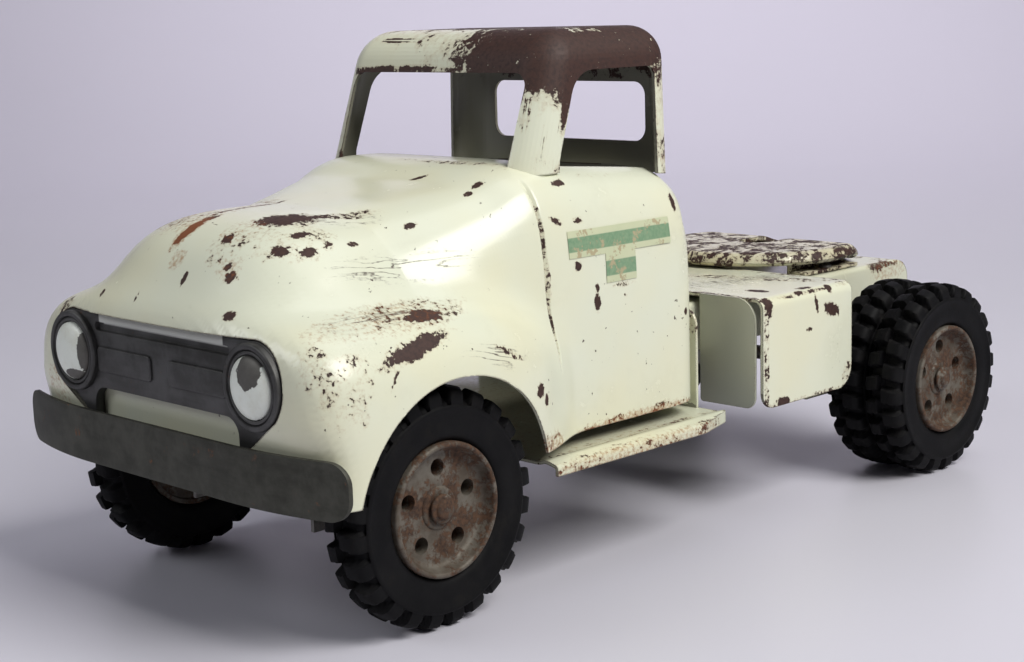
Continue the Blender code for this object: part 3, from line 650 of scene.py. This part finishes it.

# Inner sides of the body and cab shells get painted shade, facing the hollow points.
body_paint = enamel("body_enamel", BODY_CHIPS, BODY_RUST, BODY_SCRATCHES, specks=0.9, edge_wear=1.1,
                    hollow=(0, 30, 58))
cab_paint = enamel("cab_enamel", CAB_CHIPS, CAB_RUST, specks=0.6, edge_wear=1.0, flecks=0.4, fray=0.35,
                   hollow=(0, 80, 118))
# Undersides facing this point far below the truck are darkened as painted shade.
BELOW_TRUCK = (0, 150, -300)
chassis_paint = enamel("chassis_enamel", CHASSIS_CHIPS, CHASSIS_RUST, specks=0.8, edge_wear=1.7,
                       tint=(0.66, 0.68, 0.54), hollow=BELOW_TRUCK)
saddle_paint = enamel("saddle_enamel", SADDLE_CHIPS, (), SADDLE_SCRATCHES, specks=0.7, edge_wear=1.9,
                      hollow=BELOW_TRUCK)
# The front flaps face away from the key light; their cream is a darker copy, as painted shade.
flap_shaded_paint = enamel("flap_shaded_enamel", specks=0.4, edge_wear=2.0, tint=(0.44, 0.46, 0.37))
fifth_paint = enamel("fifth_wheel_enamel", specks=1.0, edge_wear=1.8, wear=0.05, flecks=0.8, fray=0.3,
                     tint=(0.62, 0.62, 0.47))
# The grille's top band above 73 mm carries a pale painted highlight.
grille_steel = old_steel("grille_steel", (0.100, 0.099, 0.098), (0.050, 0.049, 0.046), 0.22, 0.60, 0.40,
                         lit_strip=(73.0, 26.5))
bumper_steel = old_steel("bumper_steel", (0.085, 0.085, 0.070), (0.042, 0.042, 0.033), 0.28, 0.6, 0.48)
wheel_steel = old_steel("wheel_steel", (0.160, 0.145, 0.120), (0.080, 0.062, 0.044), 1.6, 0.30, 0.52,
                        brown=((0.034, 0.018, 0.011), (0.095, 0.048, 0.025)))
axle_steel = old_steel("axle_steel", (0.30, 0.29, 0.27), (0.14, 0.13, 0.12), 0.8, 0.85, 0.45)
rubber = tyre_rubber()
label = label_paper()
lamp_paints = {
    "left_headlight_lens": lamp_paint("lamp_enamel_near", [(39.6, -42, 69.6, 4, 9, 4.6)]),
    "right_headlight_lens": lamp_paint("lamp_enamel_far", [(-31.6, -42, 66, 2.4, 6, 6.5),
                                                           (-36.5, -42, 59.4, 4, 6, 1.6)]),
}


# ---- drawn body ----------------------------------------------------------------------------------

HOOD_TOP = ((4, 101.0), (20, 103.0), (34, 105.6), (41, 108.6), (47, 110.0), (60, 110.0), (CAB_BACK, 105.6))
SPINE_FRONT = 4.0
SPINE_BACK = 75.0
NOSE_SETBACK = 4.8
BODY_WIDTHS = ((-44, 46), (4, 47), (45, 50.5), (CAB_BACK, 51))
BODY_POWERS = ((4, 3.2), (45, 6.5))
DOOR_Y = 45.2


def along(table, y):
    return float(np.interp(y, [row[0] for row in table], [row[1] for row in table]))


def eased(table, y, reach=7.0):
    """The table's value at y, averaged over reach, so that it has no corners."""
    return sum(along(table, y + reach * k / 6) * (7 - abs(k)) for k in range(-6, 7)) / 49


def ease(value):
    """0 up to 0, 1 from 1 on, smooth between."""
    value = min(1.0, max(0.0, value))
    return value * value * (3 - 2 * value)


def hull_radius(direction, width, height, length, section_power, run_power):
    """Distance from a spine end to a rounded box of these half sizes, along a unit direction."""
    dx, dy, dz = (abs(value) for value in direction)
    ring = (dx / width) ** section_power + (dz / height) ** section_power
    return (ring ** (run_power / section_power) + (dy / length) ** run_power) ** (-1 / run_power)


def hull_point(side_angle, tilt, y, inset):
    """A point on the body's skin; tilt is 0 between the spine ends and turns to 90 degrees past them."""
    dx = math.sin(side_angle) * math.cos(tilt)
    dz = math.cos(side_angle) * math.cos(tilt)
    dy = math.sin(tilt)
    width = eased(BODY_WIDTHS, y) - inset
    height = eased(HOOD_TOP, y, 3.0) - BODY_FLOOR - inset
    power = eased(BODY_POWERS, y)
    reach = (y - NOSE_Y - NOSE_SETBACK if dy < 0 else CAB_BACK - y) - inset
    run = 4.0 if dy < 0 else 9.0
    main = hull_radius((dx, dy, dz), width, height, reach, power, run)
    if y > 66:
        far = y + dy * main
        fall = (along(HOOD_TOP, far) - BODY_FLOOR) / (along(HOOD_TOP, y) - BODY_FLOOR)
        return dx * main, far, BODY_FLOOR + dz * main * fall
    back = max(0.0, y - SPINE_FRONT)
    shrink = (1 - min(back / 62.5, 1) ** 2.5) ** 0.4
    sink = (1 - min(back / 63.0, 1) ** 2.0) ** 0.5
    fender_width = (FENDER_WIDTH - inset) * max(shrink, 0.02)
    fender_height = (42.5 - inset) * max(sink, 0.02)
    fender = hull_radius((dx, dy, dz), fender_width, fender_height, reach, 5.5, 11.0)
    radius = (main ** 13 + fender ** 13) ** (1 / 13)
    if inset == 0:
        crease = math.exp(-((y - DOOR_Y) / 0.55) ** 2)
        level = BODY_FLOOR + dz * radius
        on_door = min(1.0, max(0.0, (level - 56) / 6)) * min(1.0, max(0.0, (106.5 - level) / 3))
        radius -= 0.75 * crease * on_door
    level = BODY_FLOOR + dz * radius
    lip = 2.2 * ease((level - 47) / 12) * ease((96 - level) / 22) * max(0.0, -dy * radius / reach) ** 6
    return dx * radius, y + dy * radius - lip, level


def hull_block(name, inset, drop, across, coarse=1.0):
    """The body's outer skin, or its inside when inset, as a closed block on a flat bottom."""
    stations = [(SPINE_FRONT, -math.radians(a)) for a in np.linspace(90, 2, int(44 / coarse))]
    spine = list(np.linspace(SPINE_FRONT, SPINE_BACK, int(72 / coarse)))
    if inset == 0:
        spine = sorted(set(spine) | set(np.linspace(DOOR_Y - 1.6, DOOR_Y + 1.6, 13)))
    stations += [(y, 0.0) for y in spine]
    for start, end, count in ((3, 24, 8), (25, 46, 26), (49, 90, 12)):
        stations += [(SPINE_BACK, math.radians(a)) for a in np.linspace(start, end, int(count / coarse))]
    angles = [math.pi * (k / across - 0.5) for k in range(across + 1)]
    points = []
    for y, tilt in stations:
        points += [hull_point(angle, tilt, y, inset) for angle in angles]
    columns = across + 1
    faces = grid_faces(len(stations), columns)
    rim = [r * columns for r in range(len(stations))]
    rim += [r * columns + across for r in range(len(stations) - 2, 0, -1)]
    if drop:
        start = len(points)
        points += [(points[i][0], points[i][1], points[i][2] - drop) for i in rim]
        count = len(rim)
        faces += [(rim[k], rim[(k + 1) % count], start + (k + 1) % count, start + k) for k in range(count)]
        rim = list(range(start, start + count))
    faces.append(tuple(rim))
    obj = raw(name, points, faces)
    bm = bmesh.new()
    bm.from_mesh(obj.data)
    bmesh.ops.dissolve_degenerate(bm, edges=bm.edges, dist=1e-7)
    bmesh.ops.triangulate(bm, faces=bm.faces)
    bmesh.ops.recalc_face_normals(bm, faces=bm.faces)
    bm.to_mesh(obj.data)
    bm.free()
    return obj


def grille_outline(grow, steps=20):
    """The recess in the nose: round at both lamps, drawn in towards the bottom corners."""
    half = arc((LAMP_X, LAMP_Z), 11.2 + grow, -40, 90, steps)
    foot = (30.0 + grow, 46.0 - grow)
    return [foot] + half + [(-x, z) for x, z in reversed(half)] + [(-foot[0], foot[1])]


def make_body():
    body = hull_block("body_skin", 0.0, 0.0, 110)
    hollow = hull_block("hollow", 1.0, 3.0, 56, 2.0)
    carve(hollow, [prism("pocket", grille_outline(1.0), -60, GRILLE_Y + 1.0)])
    opening = rounded([(-37.3, 55.5, 7), (-37.3, 102.6, 7), (37.3, 102.6, 7), (37.3, 55.5, 7)])
    tools = [prism("recess", grille_outline(0), -60, GRILLE_Y), hollow,
             prism("opening", opening, 96, 120, "Z")]
    for side in (-1, 1):
        ends = (side * 58 - 17, side * 58 + 17)
        tools.append(rod(f"arch_{side}", ARCH_RADIUS, *ends, ARCH_Y, TYRE_RADIUS, steps=128))
    carve(body, tools)
    return finished(body, body_paint, ["body_shell"], smooth=40)


def make_upper_cab():
    """Roof, windshield posts and rear wall: a tapered block with rounded edges, hollowed and opened."""
    def block(name, inset, drop):
        points = []
        for z, half in ((100.0 - drop, 42.6), (144.6 - inset, 41.2)):
            lean = (z - 108.8) * 0.325
            x, front, back = half - inset, 47.2 + lean + inset, 108.6 - inset
            points += [(-x, front, z), (x, front, z), (x, back, z), (-x, back, z)]
        faces = [(3, 2, 1, 0), (4, 5, 6, 7)] + [(k, (k + 1) % 4, 4 + (k + 1) % 4, 4 + k) for k in range(4)]
        obj = raw(name, points, faces)
        bm = bmesh.new()
        bm.from_mesh(obj.data)
        upper = [e for e in bm.edges if any(v.co.z > 0.120 for v in e.verts)]
        bmesh.ops.bevel(bm, geom=upper, offset=(9.5 - inset) * MM, segments=12, profile=0.5, affect="EDGES")
        bmesh.ops.recalc_face_normals(bm, faces=bm.faces)
        bm.to_mesh(obj.data)
        bm.free()
        return obj

    cab = block("upper_cab_skin", 0.0, 0.0)
    windshield = rounded([(-34, 90, 0), (34, 90, 0), (35, 133.2, 4), (-35, 133.2, 4)])
    side = rounded([(58.0, 90, 0), (99.2, 90, 0), (99.2, 133.4, 2.5), (67.5, 133.4, 9), (59.5, 110, 0)])
    rear = rounded([(-30.8, 111.3, 4), (30.8, 111.3, 4), (30.8, 128.4, 4), (-30.8, 128.4, 4)])
    seat = [(30, 80), (125, 80), (125, 101.5), (CAB_BACK, 102.4), (60, 106.8), (47, 106.4), (30, 105.6)]
    carve(cab, [block("cab_hollow", 1.0, 4.0), prism("windshield_cut", windshield, 20, 80),
                prism("side_cut", side, -60, 60, "X"), prism("rear_cut", rear, 95, 125),
                prism("seat_cut", seat, -60, 60, "X")])
    return finished(cab, cab_paint, ["upper_cab"], smooth=40)


# ---- front end -----------------------------------------------------------------------------------

def make_grille():
    """One stamping: bar between the lamps, two lamp bezels and a leg down each side."""
    grille = prism("grille_stamping", grille_outline(-0.3), -41.0, GRILLE_Y - 0.3)
    window = rounded([(-31, 40, 0), (31, 40, 0), (31, 56.6, 4.5), (-31, 56.6, 4.5)])
    tools = [prism("grille_window", window, -50, -30)]
    channel = rounded([(-29, 71.6, 1), (29, 71.6, 1), (29, 73.8, 1), (-29, 73.8, 1)])
    tools.append(prism("grille_channel", channel, -50, -39.6))
    carve(grille, tools)
    rounded_edges(grille, 0.35, 2)
    finished(grille, grille_steel, ["grille"])
    for side, name in ((1, "left"), (-1, "right")):
        corners = ((3.8, 61.0), (27.6, 61.0), (27.6, 67.6), (3.8, 67.6))
        rib = rounded([(side * x, z, 1.2) for x, z in corners])
        panel = prism(f"grille_panel_{name}", rib, -41.75, -40.9)
        rounded_edges(panel, 0.5, 3)
        finished(panel, grille_steel)
        profile = [(8.0, 0.0), (10.6, 0.0)] + arc((9.9, 1.6), 0.7, 0, 90, 5) + [(9.2, 2.2), (8.9, 1.5)]
        profile += arc((8.3, 1.6), 0.5, 0, 180, 6) + [(7.8, 1.0)]
        ring = lathe(f"headlight_bezel_{name}", profile, (side * LAMP_X, -40.4, LAMP_Z), "Y", -1)
        finished(ring, grille_steel)


def make_headlight(side, node):
    """A shallow painted dome pressed into its bezel."""
    rim = 7.6
    profile = [(0.01, 0), (rim, 0), (rim, 1.0)]
    profile += [(rim * math.cos(a), 1.0 + 2.2 * math.sin(a)) for a in np.radians(np.linspace(8, 88, 12))]
    profile += [(0.01, 3.2)]
    lens = lathe(node + "_dome", profile, (side * LAMP_X, GRILLE_Y - 3.1, LAMP_Z), "Y", -1)
    finished(lens, lamp_paints[node], [node])


def make_bumper():
    """A deep flat bar with rounded ends, bowed back from the middle towards each end."""
    half, low, high, thick = 68.0, 37.0, 51.0, 1.2
    outline = rounded([(-half, low, 5.5), (half, low, 5.5), (half, high, 5.5), (-half, high, 5.5)], 10)
    levels = {}
    for x, z in outline:
        levels.setdefault(round(x, 3), []).append(z)
    rows = []
    for x in sorted(set(levels) | {float(v) for v in np.arange(-62, 63, 2.0)}):
        ends = levels.get(x, [low, high])
        bottom, top = (min(ends), max(ends)) if max(ends) - min(ends) > 0.01 else (low, high)
        back = 6.0 * max(0.0, (abs(x) - 30) / 38) ** 2
        ring = [(x, NOSE_Y + back, z) for z in np.linspace(bottom, top, 9)]
        ring += [(x, NOSE_Y + back + thick, z) for z in np.linspace(top, bottom, 9)]
        rows.append(ring)
    points = [p for ring in rows for p in ring]
    count = len(rows[0])
    faces = grid_faces(len(rows), count, False, True)
    faces += [tuple(range(count)), tuple(range(len(points) - 1, len(points) - count - 1, -1))]
    bumper = raw("bumper_bar", points, faces)
    rounded_edges(bumper, 0.45, 3, 50)
    finished(bumper, bumper_steel, ["front_bumper"])


# ---- chassis -------------------------------------------------------------------------------------

def make_pan():
    """Floor sheet: running boards at both edges with turned-down lips, and a riser behind the cab."""
    half, lip, radius = 60.0, 3.0, 1.4
    line = [(0.0, PAN_Z)] + [(x, PAN_Z) for x in (20, 40, 50, 53)]
    line += [(54.0, PAN_Z + 0.25), (55.0, PAN_Z + 0.6), (56.0, PAN_Z + 0.6), (57.6, PAN_Z + 0.3)]
    line += arc((half - radius, PAN_Z - radius), radius, 80, 0, 5) + [(half, PAN_Z - lip)]
    rows = []
    for y in sorted(set(np.linspace(37.5, RISER_Y, 38)) | {98.0, 100.0, 103.0, 106.0, 109.0}):
        trim = max(0.0, (y - 98) / 27 * 8)
        row = [(min(x, half - trim) if x > 45 else x, y, z) for x, z in line]
        rows.append([(-x, py, z) for x, py, z in reversed(row[1:])] + row)
    points = [p for row in rows for p in row]
    pan = thickened(raw("pan_sheet", points, grid_faces(len(rows), len(rows[0]))), 0.9, -1)
    arches = []
    for side in (-1, 1):
        ends = (side * 62 - 20, side * 62 + 20)
        arches.append(rod(f"board_arch_{side}", ARCH_RADIUS, *ends, ARCH_Y, TYRE_RADIUS, steps=96))
    carve(pan, arches)
    finished(pan, chassis_paint, ["running_board_pan"])
    outline = rounded([(-46, PAN_Z - 0.5, 0), (46, PAN_Z - 0.5, 0), (46, 64, 6), (-46, 64, 6)])
    riser = rounded_edges(prism("riser_sheet", outline, RISER_Y - 1.0, RISER_Y), 0.3, 2)
    finished(riser, chassis_paint)


def channel_outline(half, top, bottom=22.0, thick=1.2, radius=1.6):
    """Section of an inverted channel."""
    outer = [(-half, bottom)] + arc((-half + radius, top - radius), radius, 180, 90, 6)
    outer += arc((half - radius, top - radius), radius, 90, 0, 6) + [(half, bottom)]
    half -= thick
    return outer + [(half, bottom), (half, top - thick), (-half, top - thick), (-half, bottom)]


def make_frame():
    """Inverted channel from the riser to the tail, with an ear on each flange for the rear axle."""
    chassis = prism("chassis_channel", channel_outline(33.0, DECK_TOP), RISER_Y + 0.3, TAIL_Y)
    flange = [(100, 10), (WHEELBASE - 22, 10), (WHEELBASE - 22, 40), (WHEELBASE - 30, 47), (100, 47)]
    tail = [(WHEELBASE + 14, 10), (260, 10), (260, 47), (WHEELBASE + 22, 47), (WHEELBASE + 14, 40)]
    corner = [(TAIL_Y - 7, 70)] + arc((TAIL_Y - 7, DECK_TOP - 7), 7, 90, 0, 10) + [(260, 40), (260, 70)]
    tools = [prism("flange_front", flange, -50, 50, "X"), prism("flange_tail", tail, -50, 50, "X"),
             prism("tail_corner", corner, -50, 50, "X"),
             rod("rear_axle_hole", AXLE_RADIUS + 0.3, -45, 45, WHEELBASE, TYRE_RADIUS),
             rod("king_hole", 5.0, DECK_TOP - 10, DECK_TOP + 10, 0, WHEELBASE - 5, "Z")]
    carve(chassis, tools)
    finished(chassis, chassis_paint, ["chassis_frame"])
    carrier = prism("front_carrier", channel_outline(26.0, PAN_Z + 8.0), -39.5, 36.5)
    tools = [box("carrier_nose", (-40, -60, 10), (40, -16, 35.5)),
             box("carrier_back", (-40, 16, 10), (40, 60, 35.5)),
             rod("front_axle_hole", AXLE_RADIUS + 0.3, -45, 45, 0, TYRE_RADIUS)]
    carve(carrier, tools)
    finished(carrier, axle_steel, ["front_axle_carrier"])


def make_saddle():
    """One sheet laid over the frame: flat top, a flap folded down in front and one at each side."""
    half, front, back, low, bend = 58.0, 127.0, 172.0, 32.0, 3.2
    lower = SADDLE_TOP - low - bend
    front_round, back_round = 5.0, 7.0
    rows = []
    for y in np.concatenate([front + front_round * (1 - np.cos(np.linspace(0, math.pi / 2, 10))),
                             np.linspace(front + 8, back - 9, 12),
                             back - back_round * (1 - np.cos(np.linspace(math.pi / 2, 0, 12)))]):
        ahead, behind = min(1.0, (y - front) / front_round), min(1.0, (back - y) / back_round)
        cut = front_round * (1 - math.sqrt(max(0.0, 1 - (1 - ahead) ** 2)))
        cut += back_round * (1 - math.sqrt(max(0.0, 1 - (1 - behind) ** 2)))
        run = [(x, SADDLE_TOP) for x in np.linspace(0, half - bend, 8)][:-1]
        run += arc((half - bend, SADDLE_TOP - bend), bend, 90, 0, 8)
        run += [(half, SADDLE_TOP - bend - d) for d in np.linspace(0, lower - cut, 9)[1:]]
        row = [(x, y, z) for x, z in run]
        rows.append([(-x, py, z) for x, py, z in reversed(row[1:])] + row)
    points = [p for row in rows for p in row]
    cover = thickened(raw("saddle_sheet", points, grid_faces(len(rows), len(rows[0]))), 1.0, -1)
    finished(cover, saddle_paint, ["saddle_cover"])
    for side, name in ((1, "left"), (-1, "right")):
        top = SADDLE_TOP + 0.1
        corners = ((35.0, low, 1), (55.6, low, 3.5), (55.9, top, 7), (35.0, top, 0))
        face = rounded([(side * x, z, radius) for x, z, radius in corners])
        flap = prism(f"saddle_front_flap_{name}", face, front - 0.9, front + 0.1)
        rounded_edges(flap, 0.3, 2)
        finished(flap, flap_shaded_paint)


def make_fifth_wheel():
    """A round plate on two side wings, with a king-pin slot that opens towards the tail."""
    radius, centre_y, top = 34.0, WHEELBASE - 5.0, 70.0
    profile = [(r, 0) for r in (0.01, 4, 8, 12, 16, 20, 24, 27, 29)]
    profile += arc((radius - 3.4, -3.6), 3.6, 86, 8, 8)
    profile += [(radius - 1.0, -4.2), (radius - 4.6, -1.4)] + [(r, -1.4) for r in (26, 20, 14, 8, 0.01)]
    plate = lathe("fifth_wheel_plate", profile, (0, centre_y, top), "Z")
    slot = [(-5.5, centre_y - 5, 5), (5.5, centre_y - 5, 5), (5.5, centre_y + 8, 6), (16, centre_y + 40, 0),
            (-16, centre_y + 40, 0), (-5.5, centre_y + 8, 6)]
    carve(plate, [prism("slot_cut", rounded(slot), 50, 90, "Z")])
    for vert in plate.data.vertices:
        past = vert.co.y / MM + CENTRE_Y - centre_y - 9
        vert.co.z -= 0.0042 * ease(past / 24) if past > 0 else 0.0
    finished(plate, fifth_paint, ["fifth_wheel"])
    for side, name in ((1, "left"), (-1, "right")):
        wing = prism(f"fifth_wheel_wing_{name}", wing_outline(side), centre_y - 15, centre_y + 15)
        rounded_edges(wing, 0.3, 2)
        finished(wing, fifth_paint)


def wing_outline(side):
    """Section of a fifth-wheel wing: up the side, with a foot turned outwards on the deck."""
    foot, top = DECK_TOP + 0.3, 68.6
    run = [(31, foot), (31, foot + 1.2), (25.6, foot + 1.2), (25.2, foot + 1.6), (25.2, top),
           (23.8, top), (23.8, foot)]
    return [(side * x, z) for x, z in run]


def make_rivets():
    """Domed heads that hold the fifth wheel and the saddle."""
    profile = [(0.01, -0.2), (2.2, -0.2), (2.2, 0.1)]
    profile += [(2.2 * math.cos(a), 0.1 + 1.4 * math.sin(a)) for a in np.radians(np.linspace(5, 88, 9))]
    profile += [(0.01, 1.5)]
    for part, x, y, z in (("fifth_wheel", 28.2, WHEELBASE - 5, DECK_TOP + 1.5),
                          ("saddle", 20, 134, SADDLE_TOP)):
        for side, hand in ((1, "left"), (-1, "right")):
            name = f"{part}_rivet_{hand}"
            head = lathe(name + "_head", profile, (side * x, y, z), "Z", 1, 32)
            finished(head, axle_steel, [name])


# ---- wheels --------------------------------------------------------------------------------------

LUGS = 24
LUG_DEPTH = 2.9
# Half a tyre's section: radius, part of the half width, and how much of the lug depth applies.
TYRE_SECTION = (
    (17.15, 0.72, 0), (17.65, 0.86, 0), (18.45, 0.955, 0), (19.75, 1, 0), (21.35, 1, 0), (22.35, 1, 0),
    (24.4, 1, 0), (24.8, 1.03, 0), (25.3, 1.045, 0), (25.8, 1.03, 0), (26.0, 0.985, 0),
    (26.3, 0.975, 0.25), (26.8, 0.975, 0.8), (27.4, 0.965, 1), (28.3, 0.93, 1), (29.2, 0.86, 1),
    (29.75, 0.72, 1), (29.95, 0.58, 1), (30.1, 0.42, 1), (30.2, 0.26, 1), (30.2, 0.14, 1),
    (30.2, 0.06, 1), (30.2, 0, 1),
)


def make_tyre(name, x, y, side, body, phase):
    """A moulded tyre: two staggered rows of lugs that run over the shoulders, and a ring on each wall."""
    half, steps = TYRE_WIDTH / 2, LUGS * 16
    lane = list(TYRE_SECTION) + [(r, -w, s) for r, w, s in reversed(TYRE_SECTION[:-1])]
    points = []
    for k in range(steps):
        turn = k / steps * LUGS
        angle = 2 * math.pi * (turn + phase) / LUGS
        for r, w, s in lane:
            shifted = turn + (0.0 if w >= 0 else 0.5) - 0.16 * min(1.0, abs(w))
            into = abs((shifted % 1.0) - 0.5) * 2
            block = ease((into - 0.30) / 0.16)
            drop = LUG_DEPTH * (0.75 if abs(w) < 0.10 else s * (1 - block))
            length = r - drop * min(1.0, 1.25 - 0.3 * abs(w))
            pull = half * (w - math.copysign(0.07 * s * (1 - block), w) if w else 0.0)
            ahead, up = length * math.cos(angle), length * math.sin(angle)
            points.append((x + side * pull, y + ahead, TYRE_RADIUS + up))
    tyre = raw(name + "_moulding", points, grid_faces(steps, len(lane), True, True))
    finished(tyre, rubber, [name], body=body, smooth=50)


def make_disc(name, x, y, side, body):
    """A pressed disc: rolled rim, dished web with five round holes, and the hub it turns on."""
    half, bore = TYRE_WIDTH / 2, AXLE_RADIUS + 0.3
    web = half - 3.4
    profile = [(bore, HUB_FACE - 0.2), (4.6, HUB_FACE)] + arc((4.7, HUB_FACE - 0.9), 0.9, 90, 20, 4)
    profile += [(6.4, web + 0.1), (7.6, web), (13.2, web)] + arc((13.4, web + 1.6), 1.6, -90, -20, 5)
    profile += [(15.5, half - 0.5)] + arc((16.3, half - 0.4), 0.75, 170, 0, 8) + [(DISC_RADIUS, 1.0 - half)]
    profile += [(DISC_RADIUS - 1.2, 1.0 - half), (DISC_RADIUS - 1.6, 2.0 - half)]
    profile += [(4.2, 2.0 - half), (4.2, -half), (bore, -half)]
    disc = lathe(name + "_pressing", profile, (x, y, TYRE_RADIUS), "X", side)
    holes = []
    for k in range(5):
        angle = math.radians(90 + 72 * k)
        ends = sorted((x + side * (3.0 - half), x + side * 12))
        across, up = 10.3 * math.cos(angle), 10.3 * math.sin(angle)
        holes.append(rod(f"hole_{k}", 2.15, *ends, y + across, TYRE_RADIUS + up, steps=32))
    carve(disc, holes)
    finished(disc, wheel_steel, [name], body=body)


def make_caps(name, y, hub_face, body):
    """The push caps on both ends of an axle."""
    bore = AXLE_RADIUS + 0.15
    profile = [(0.01, 0.9), (bore, 0.9), (bore, 0), (3.6, 0)] + arc((3.3, 0.55), 0.5, -40, 90, 5)
    profile += arc((1.6, 0.9), 1.2, 20, 85, 6) + [(0.01, 2.15)]
    for side, hand in ((1, "left"), (-1, "right")):
        seat = (side * (hub_face + 0.3), y, TYRE_RADIUS)
        cap = lathe(f"{name}_{hand}_push_cap", profile, seat, "X", side, 40)
        finished(cap, wheel_steel, [f"{name}_{hand}_cap"], body=body)


def make_wheels():
    for side, hand in ((1, "left"), (-1, "right")):
        for part, x, y, phase in ((f"front_{hand}", WHEEL_X["front"], 0.0, 0.2 if side > 0 else 0.6),
                                  (f"rear_{hand}_inner", WHEEL_X["inner"], WHEELBASE, 0.55),
                                  (f"rear_{hand}_outer", WHEEL_X["outer"], WHEELBASE, 0.1)):
            make_tyre(part + "_tyre", side * x, y, side, part + "_wheel", phase)
            make_disc(part + "_disc", side * x, y, side, part + "_wheel")
    make_caps("front", 0.0, WHEEL_X["front"] + HUB_FACE, "front_axle")
    make_caps("rear", WHEELBASE, WHEEL_X["outer"] + HUB_FACE, "rear_axle")


# ---- labels --------------------------------------------------------------------------------------

def make_labels():
    """A plain T-shaped label on each door, bent to the door's curve."""
    def door_x(y, z):
        height = along(HOOD_TOP, y) - BODY_FLOOR
        power = along(BODY_POWERS, y)
        return along(BODY_WIDTHS, y) * (1 - ((z - BODY_FLOOR) / height) ** power) ** (1 / power)

    columns = list(np.arange(54.0, 95.1, 1.0))
    levels = list(np.arange(76.8, 92.1, 0.8))
    for side, hand in ((1, "left"), (-1, "right")):
        points = [(side * (door_x(y, z) + 0.10), y, z) for y in columns for z in levels]
        count = len(levels)
        faces = []
        for c, y in enumerate(columns[:-1]):
            for r, z in enumerate(levels[:-1]):
                if z > 84.0 or 68 <= y < 80:
                    a, b = c * count + r, (c + 1) * count + r
                    faces.append((a, b, b + 1, a + 1))
        used = sorted({i for face in faces for i in face})
        renumber = {old: new for new, old in enumerate(used)}
        faces = [tuple(renumber[i] for i in face) for face in faces]
        sheet = raw(f"door_label_{hand}_film", [points[i] for i in used], faces)
        if sum(face.normal.x for face in sheet.data.polygons) * side < 0:
            sheet.data.flip_normals()
        thickened(sheet, 0.08, 1)
        finished(sheet, label, [f"door_label_{hand}"])


make_body()
make_upper_cab()
make_grille()
make_headlight(1, "left_headlight_lens")
make_headlight(-1, "right_headlight_lens")
make_bumper()
make_pan()
make_frame()
make_saddle()
make_fifth_wheel()
make_rivets()
make_wheels()
make_labels()
for name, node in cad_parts.items():
    if "spacer" in name or name in ("front_axle", "rear_axle"):
        node.data.materials.clear()
        node.data.materials.append(axle_steel)


# ---- floor, light and camera ---------------------------------------------------------------------

def make_floor():
    """A pale paper sweep in metres, which turns up behind the truck."""
    bend, start, half = 0.9, 1.0, 4.5
    angles = np.radians(np.linspace(8, 90, 12))
    curve = [(start + bend * math.sin(a), bend * (1 - math.cos(a))) for a in angles]
    floor_points = []
    for y, z in [(-2.2, 0.0), (start, 0.0)] + curve + [(start + bend, 3.0)]:
        floor_points += [(-half, y, z), (half, y, z)]
    mesh = bpy.data.meshes.new("studio_sweep")
    turned = Matrix.Rotation(math.radians(45.26), 4, "Z")
    mesh.from_pydata([turned @ Vector(p) for p in floor_points], [], grid_faces(len(floor_points) // 2, 2))
    sweep = bpy.data.objects.new("studio_sweep", mesh)
    bpy.context.scene.collection.objects.link(sweep)
    mesh.shade_smooth()
    n = Nodes("studio_paper")
    n.finish(n.blend(n.noise(0.002, 2, 0.5), (0.60, 0.59, 0.66), (0.64, 0.63, 0.70)), 0.38)
    mesh.materials.append(n.material)


def add_light(name, place, target, size, power, color, spread=180):
    """A soft light panel, placed in metres and aimed at target."""
    data = bpy.data.lights.new(name, "AREA")
    data.shape = "RECTANGLE"
    data.size, data.size_y = size
    data.energy = power
    data.spread = math.radians(spread)
    data.color = color
    lamp = bpy.data.objects.new(name, data)
    lamp.location = place
    lamp.rotation_euler = (Vector(target) - Vector(place)).to_track_quat("-Z", "Y").to_euler()
    bpy.context.scene.collection.objects.link(lamp)


def make_camera():
    """Looks at the nose and the driver's side from a little above; angles in radians, place in metres."""
    yaw, pitch, roll = 0.789918, 0.179222, -0.029057
    place = (0.36785, -0.38158, 0.15003)
    ahead = Vector((-math.sin(yaw) * math.cos(pitch), math.cos(yaw) * math.cos(pitch), -math.sin(pitch)))
    right = ahead.cross(Vector((0, 0, 1))).normalized()
    up = right.cross(ahead)
    c, s = math.cos(roll), math.sin(roll)
    right, up = right * c + up * s, up * c - right * s
    data = bpy.data.cameras.new("camera")
    data.lens, data.sensor_width = 62.51, 36.0
    camera = bpy.data.objects.new("camera", data)
    turn = Matrix((right, up, -ahead)).transposed().to_4x4()
    camera.matrix_world = Matrix.Translation(place) @ turn
    bpy.context.scene.collection.objects.link(camera)
    bpy.context.scene.camera = camera


make_floor()
world = bpy.data.worlds.new("studio")
world.use_nodes = True
sky = world.node_tree.nodes["Background"]
sky.inputs["Color"].default_value = (0.80, 0.80, 0.90, 1)
sky.inputs["Strength"].default_value = 0.11
bpy.context.scene.world = world
bpy.context.scene.view_settings.view_transform = "Standard"
add_light("key", (0.85, 0.10, 0.95), (0.05, 0.0, 0.05), (0.7, 0.7), 15.5, (1.0, 0.985, 0.95))
add_light("top", (0.1, 0.35, 1.3), (0.0, 0.0, 0.0), (0.8, 0.8), 2.5, (0.97, 0.98, 1.0))
add_light("front", (-0.50, -1.00, 0.80), (0.0, -0.05, 0.06), (0.7, 0.5), 4.0, (0.95, 0.97, 1.0))
add_light("backdrop", (-0.45, 0.65, 1.5), (-1.25, 1.45, 0.3), (1.2, 1.2), 8.5, (0.98, 0.92, 1.0), 110)
make_camera()
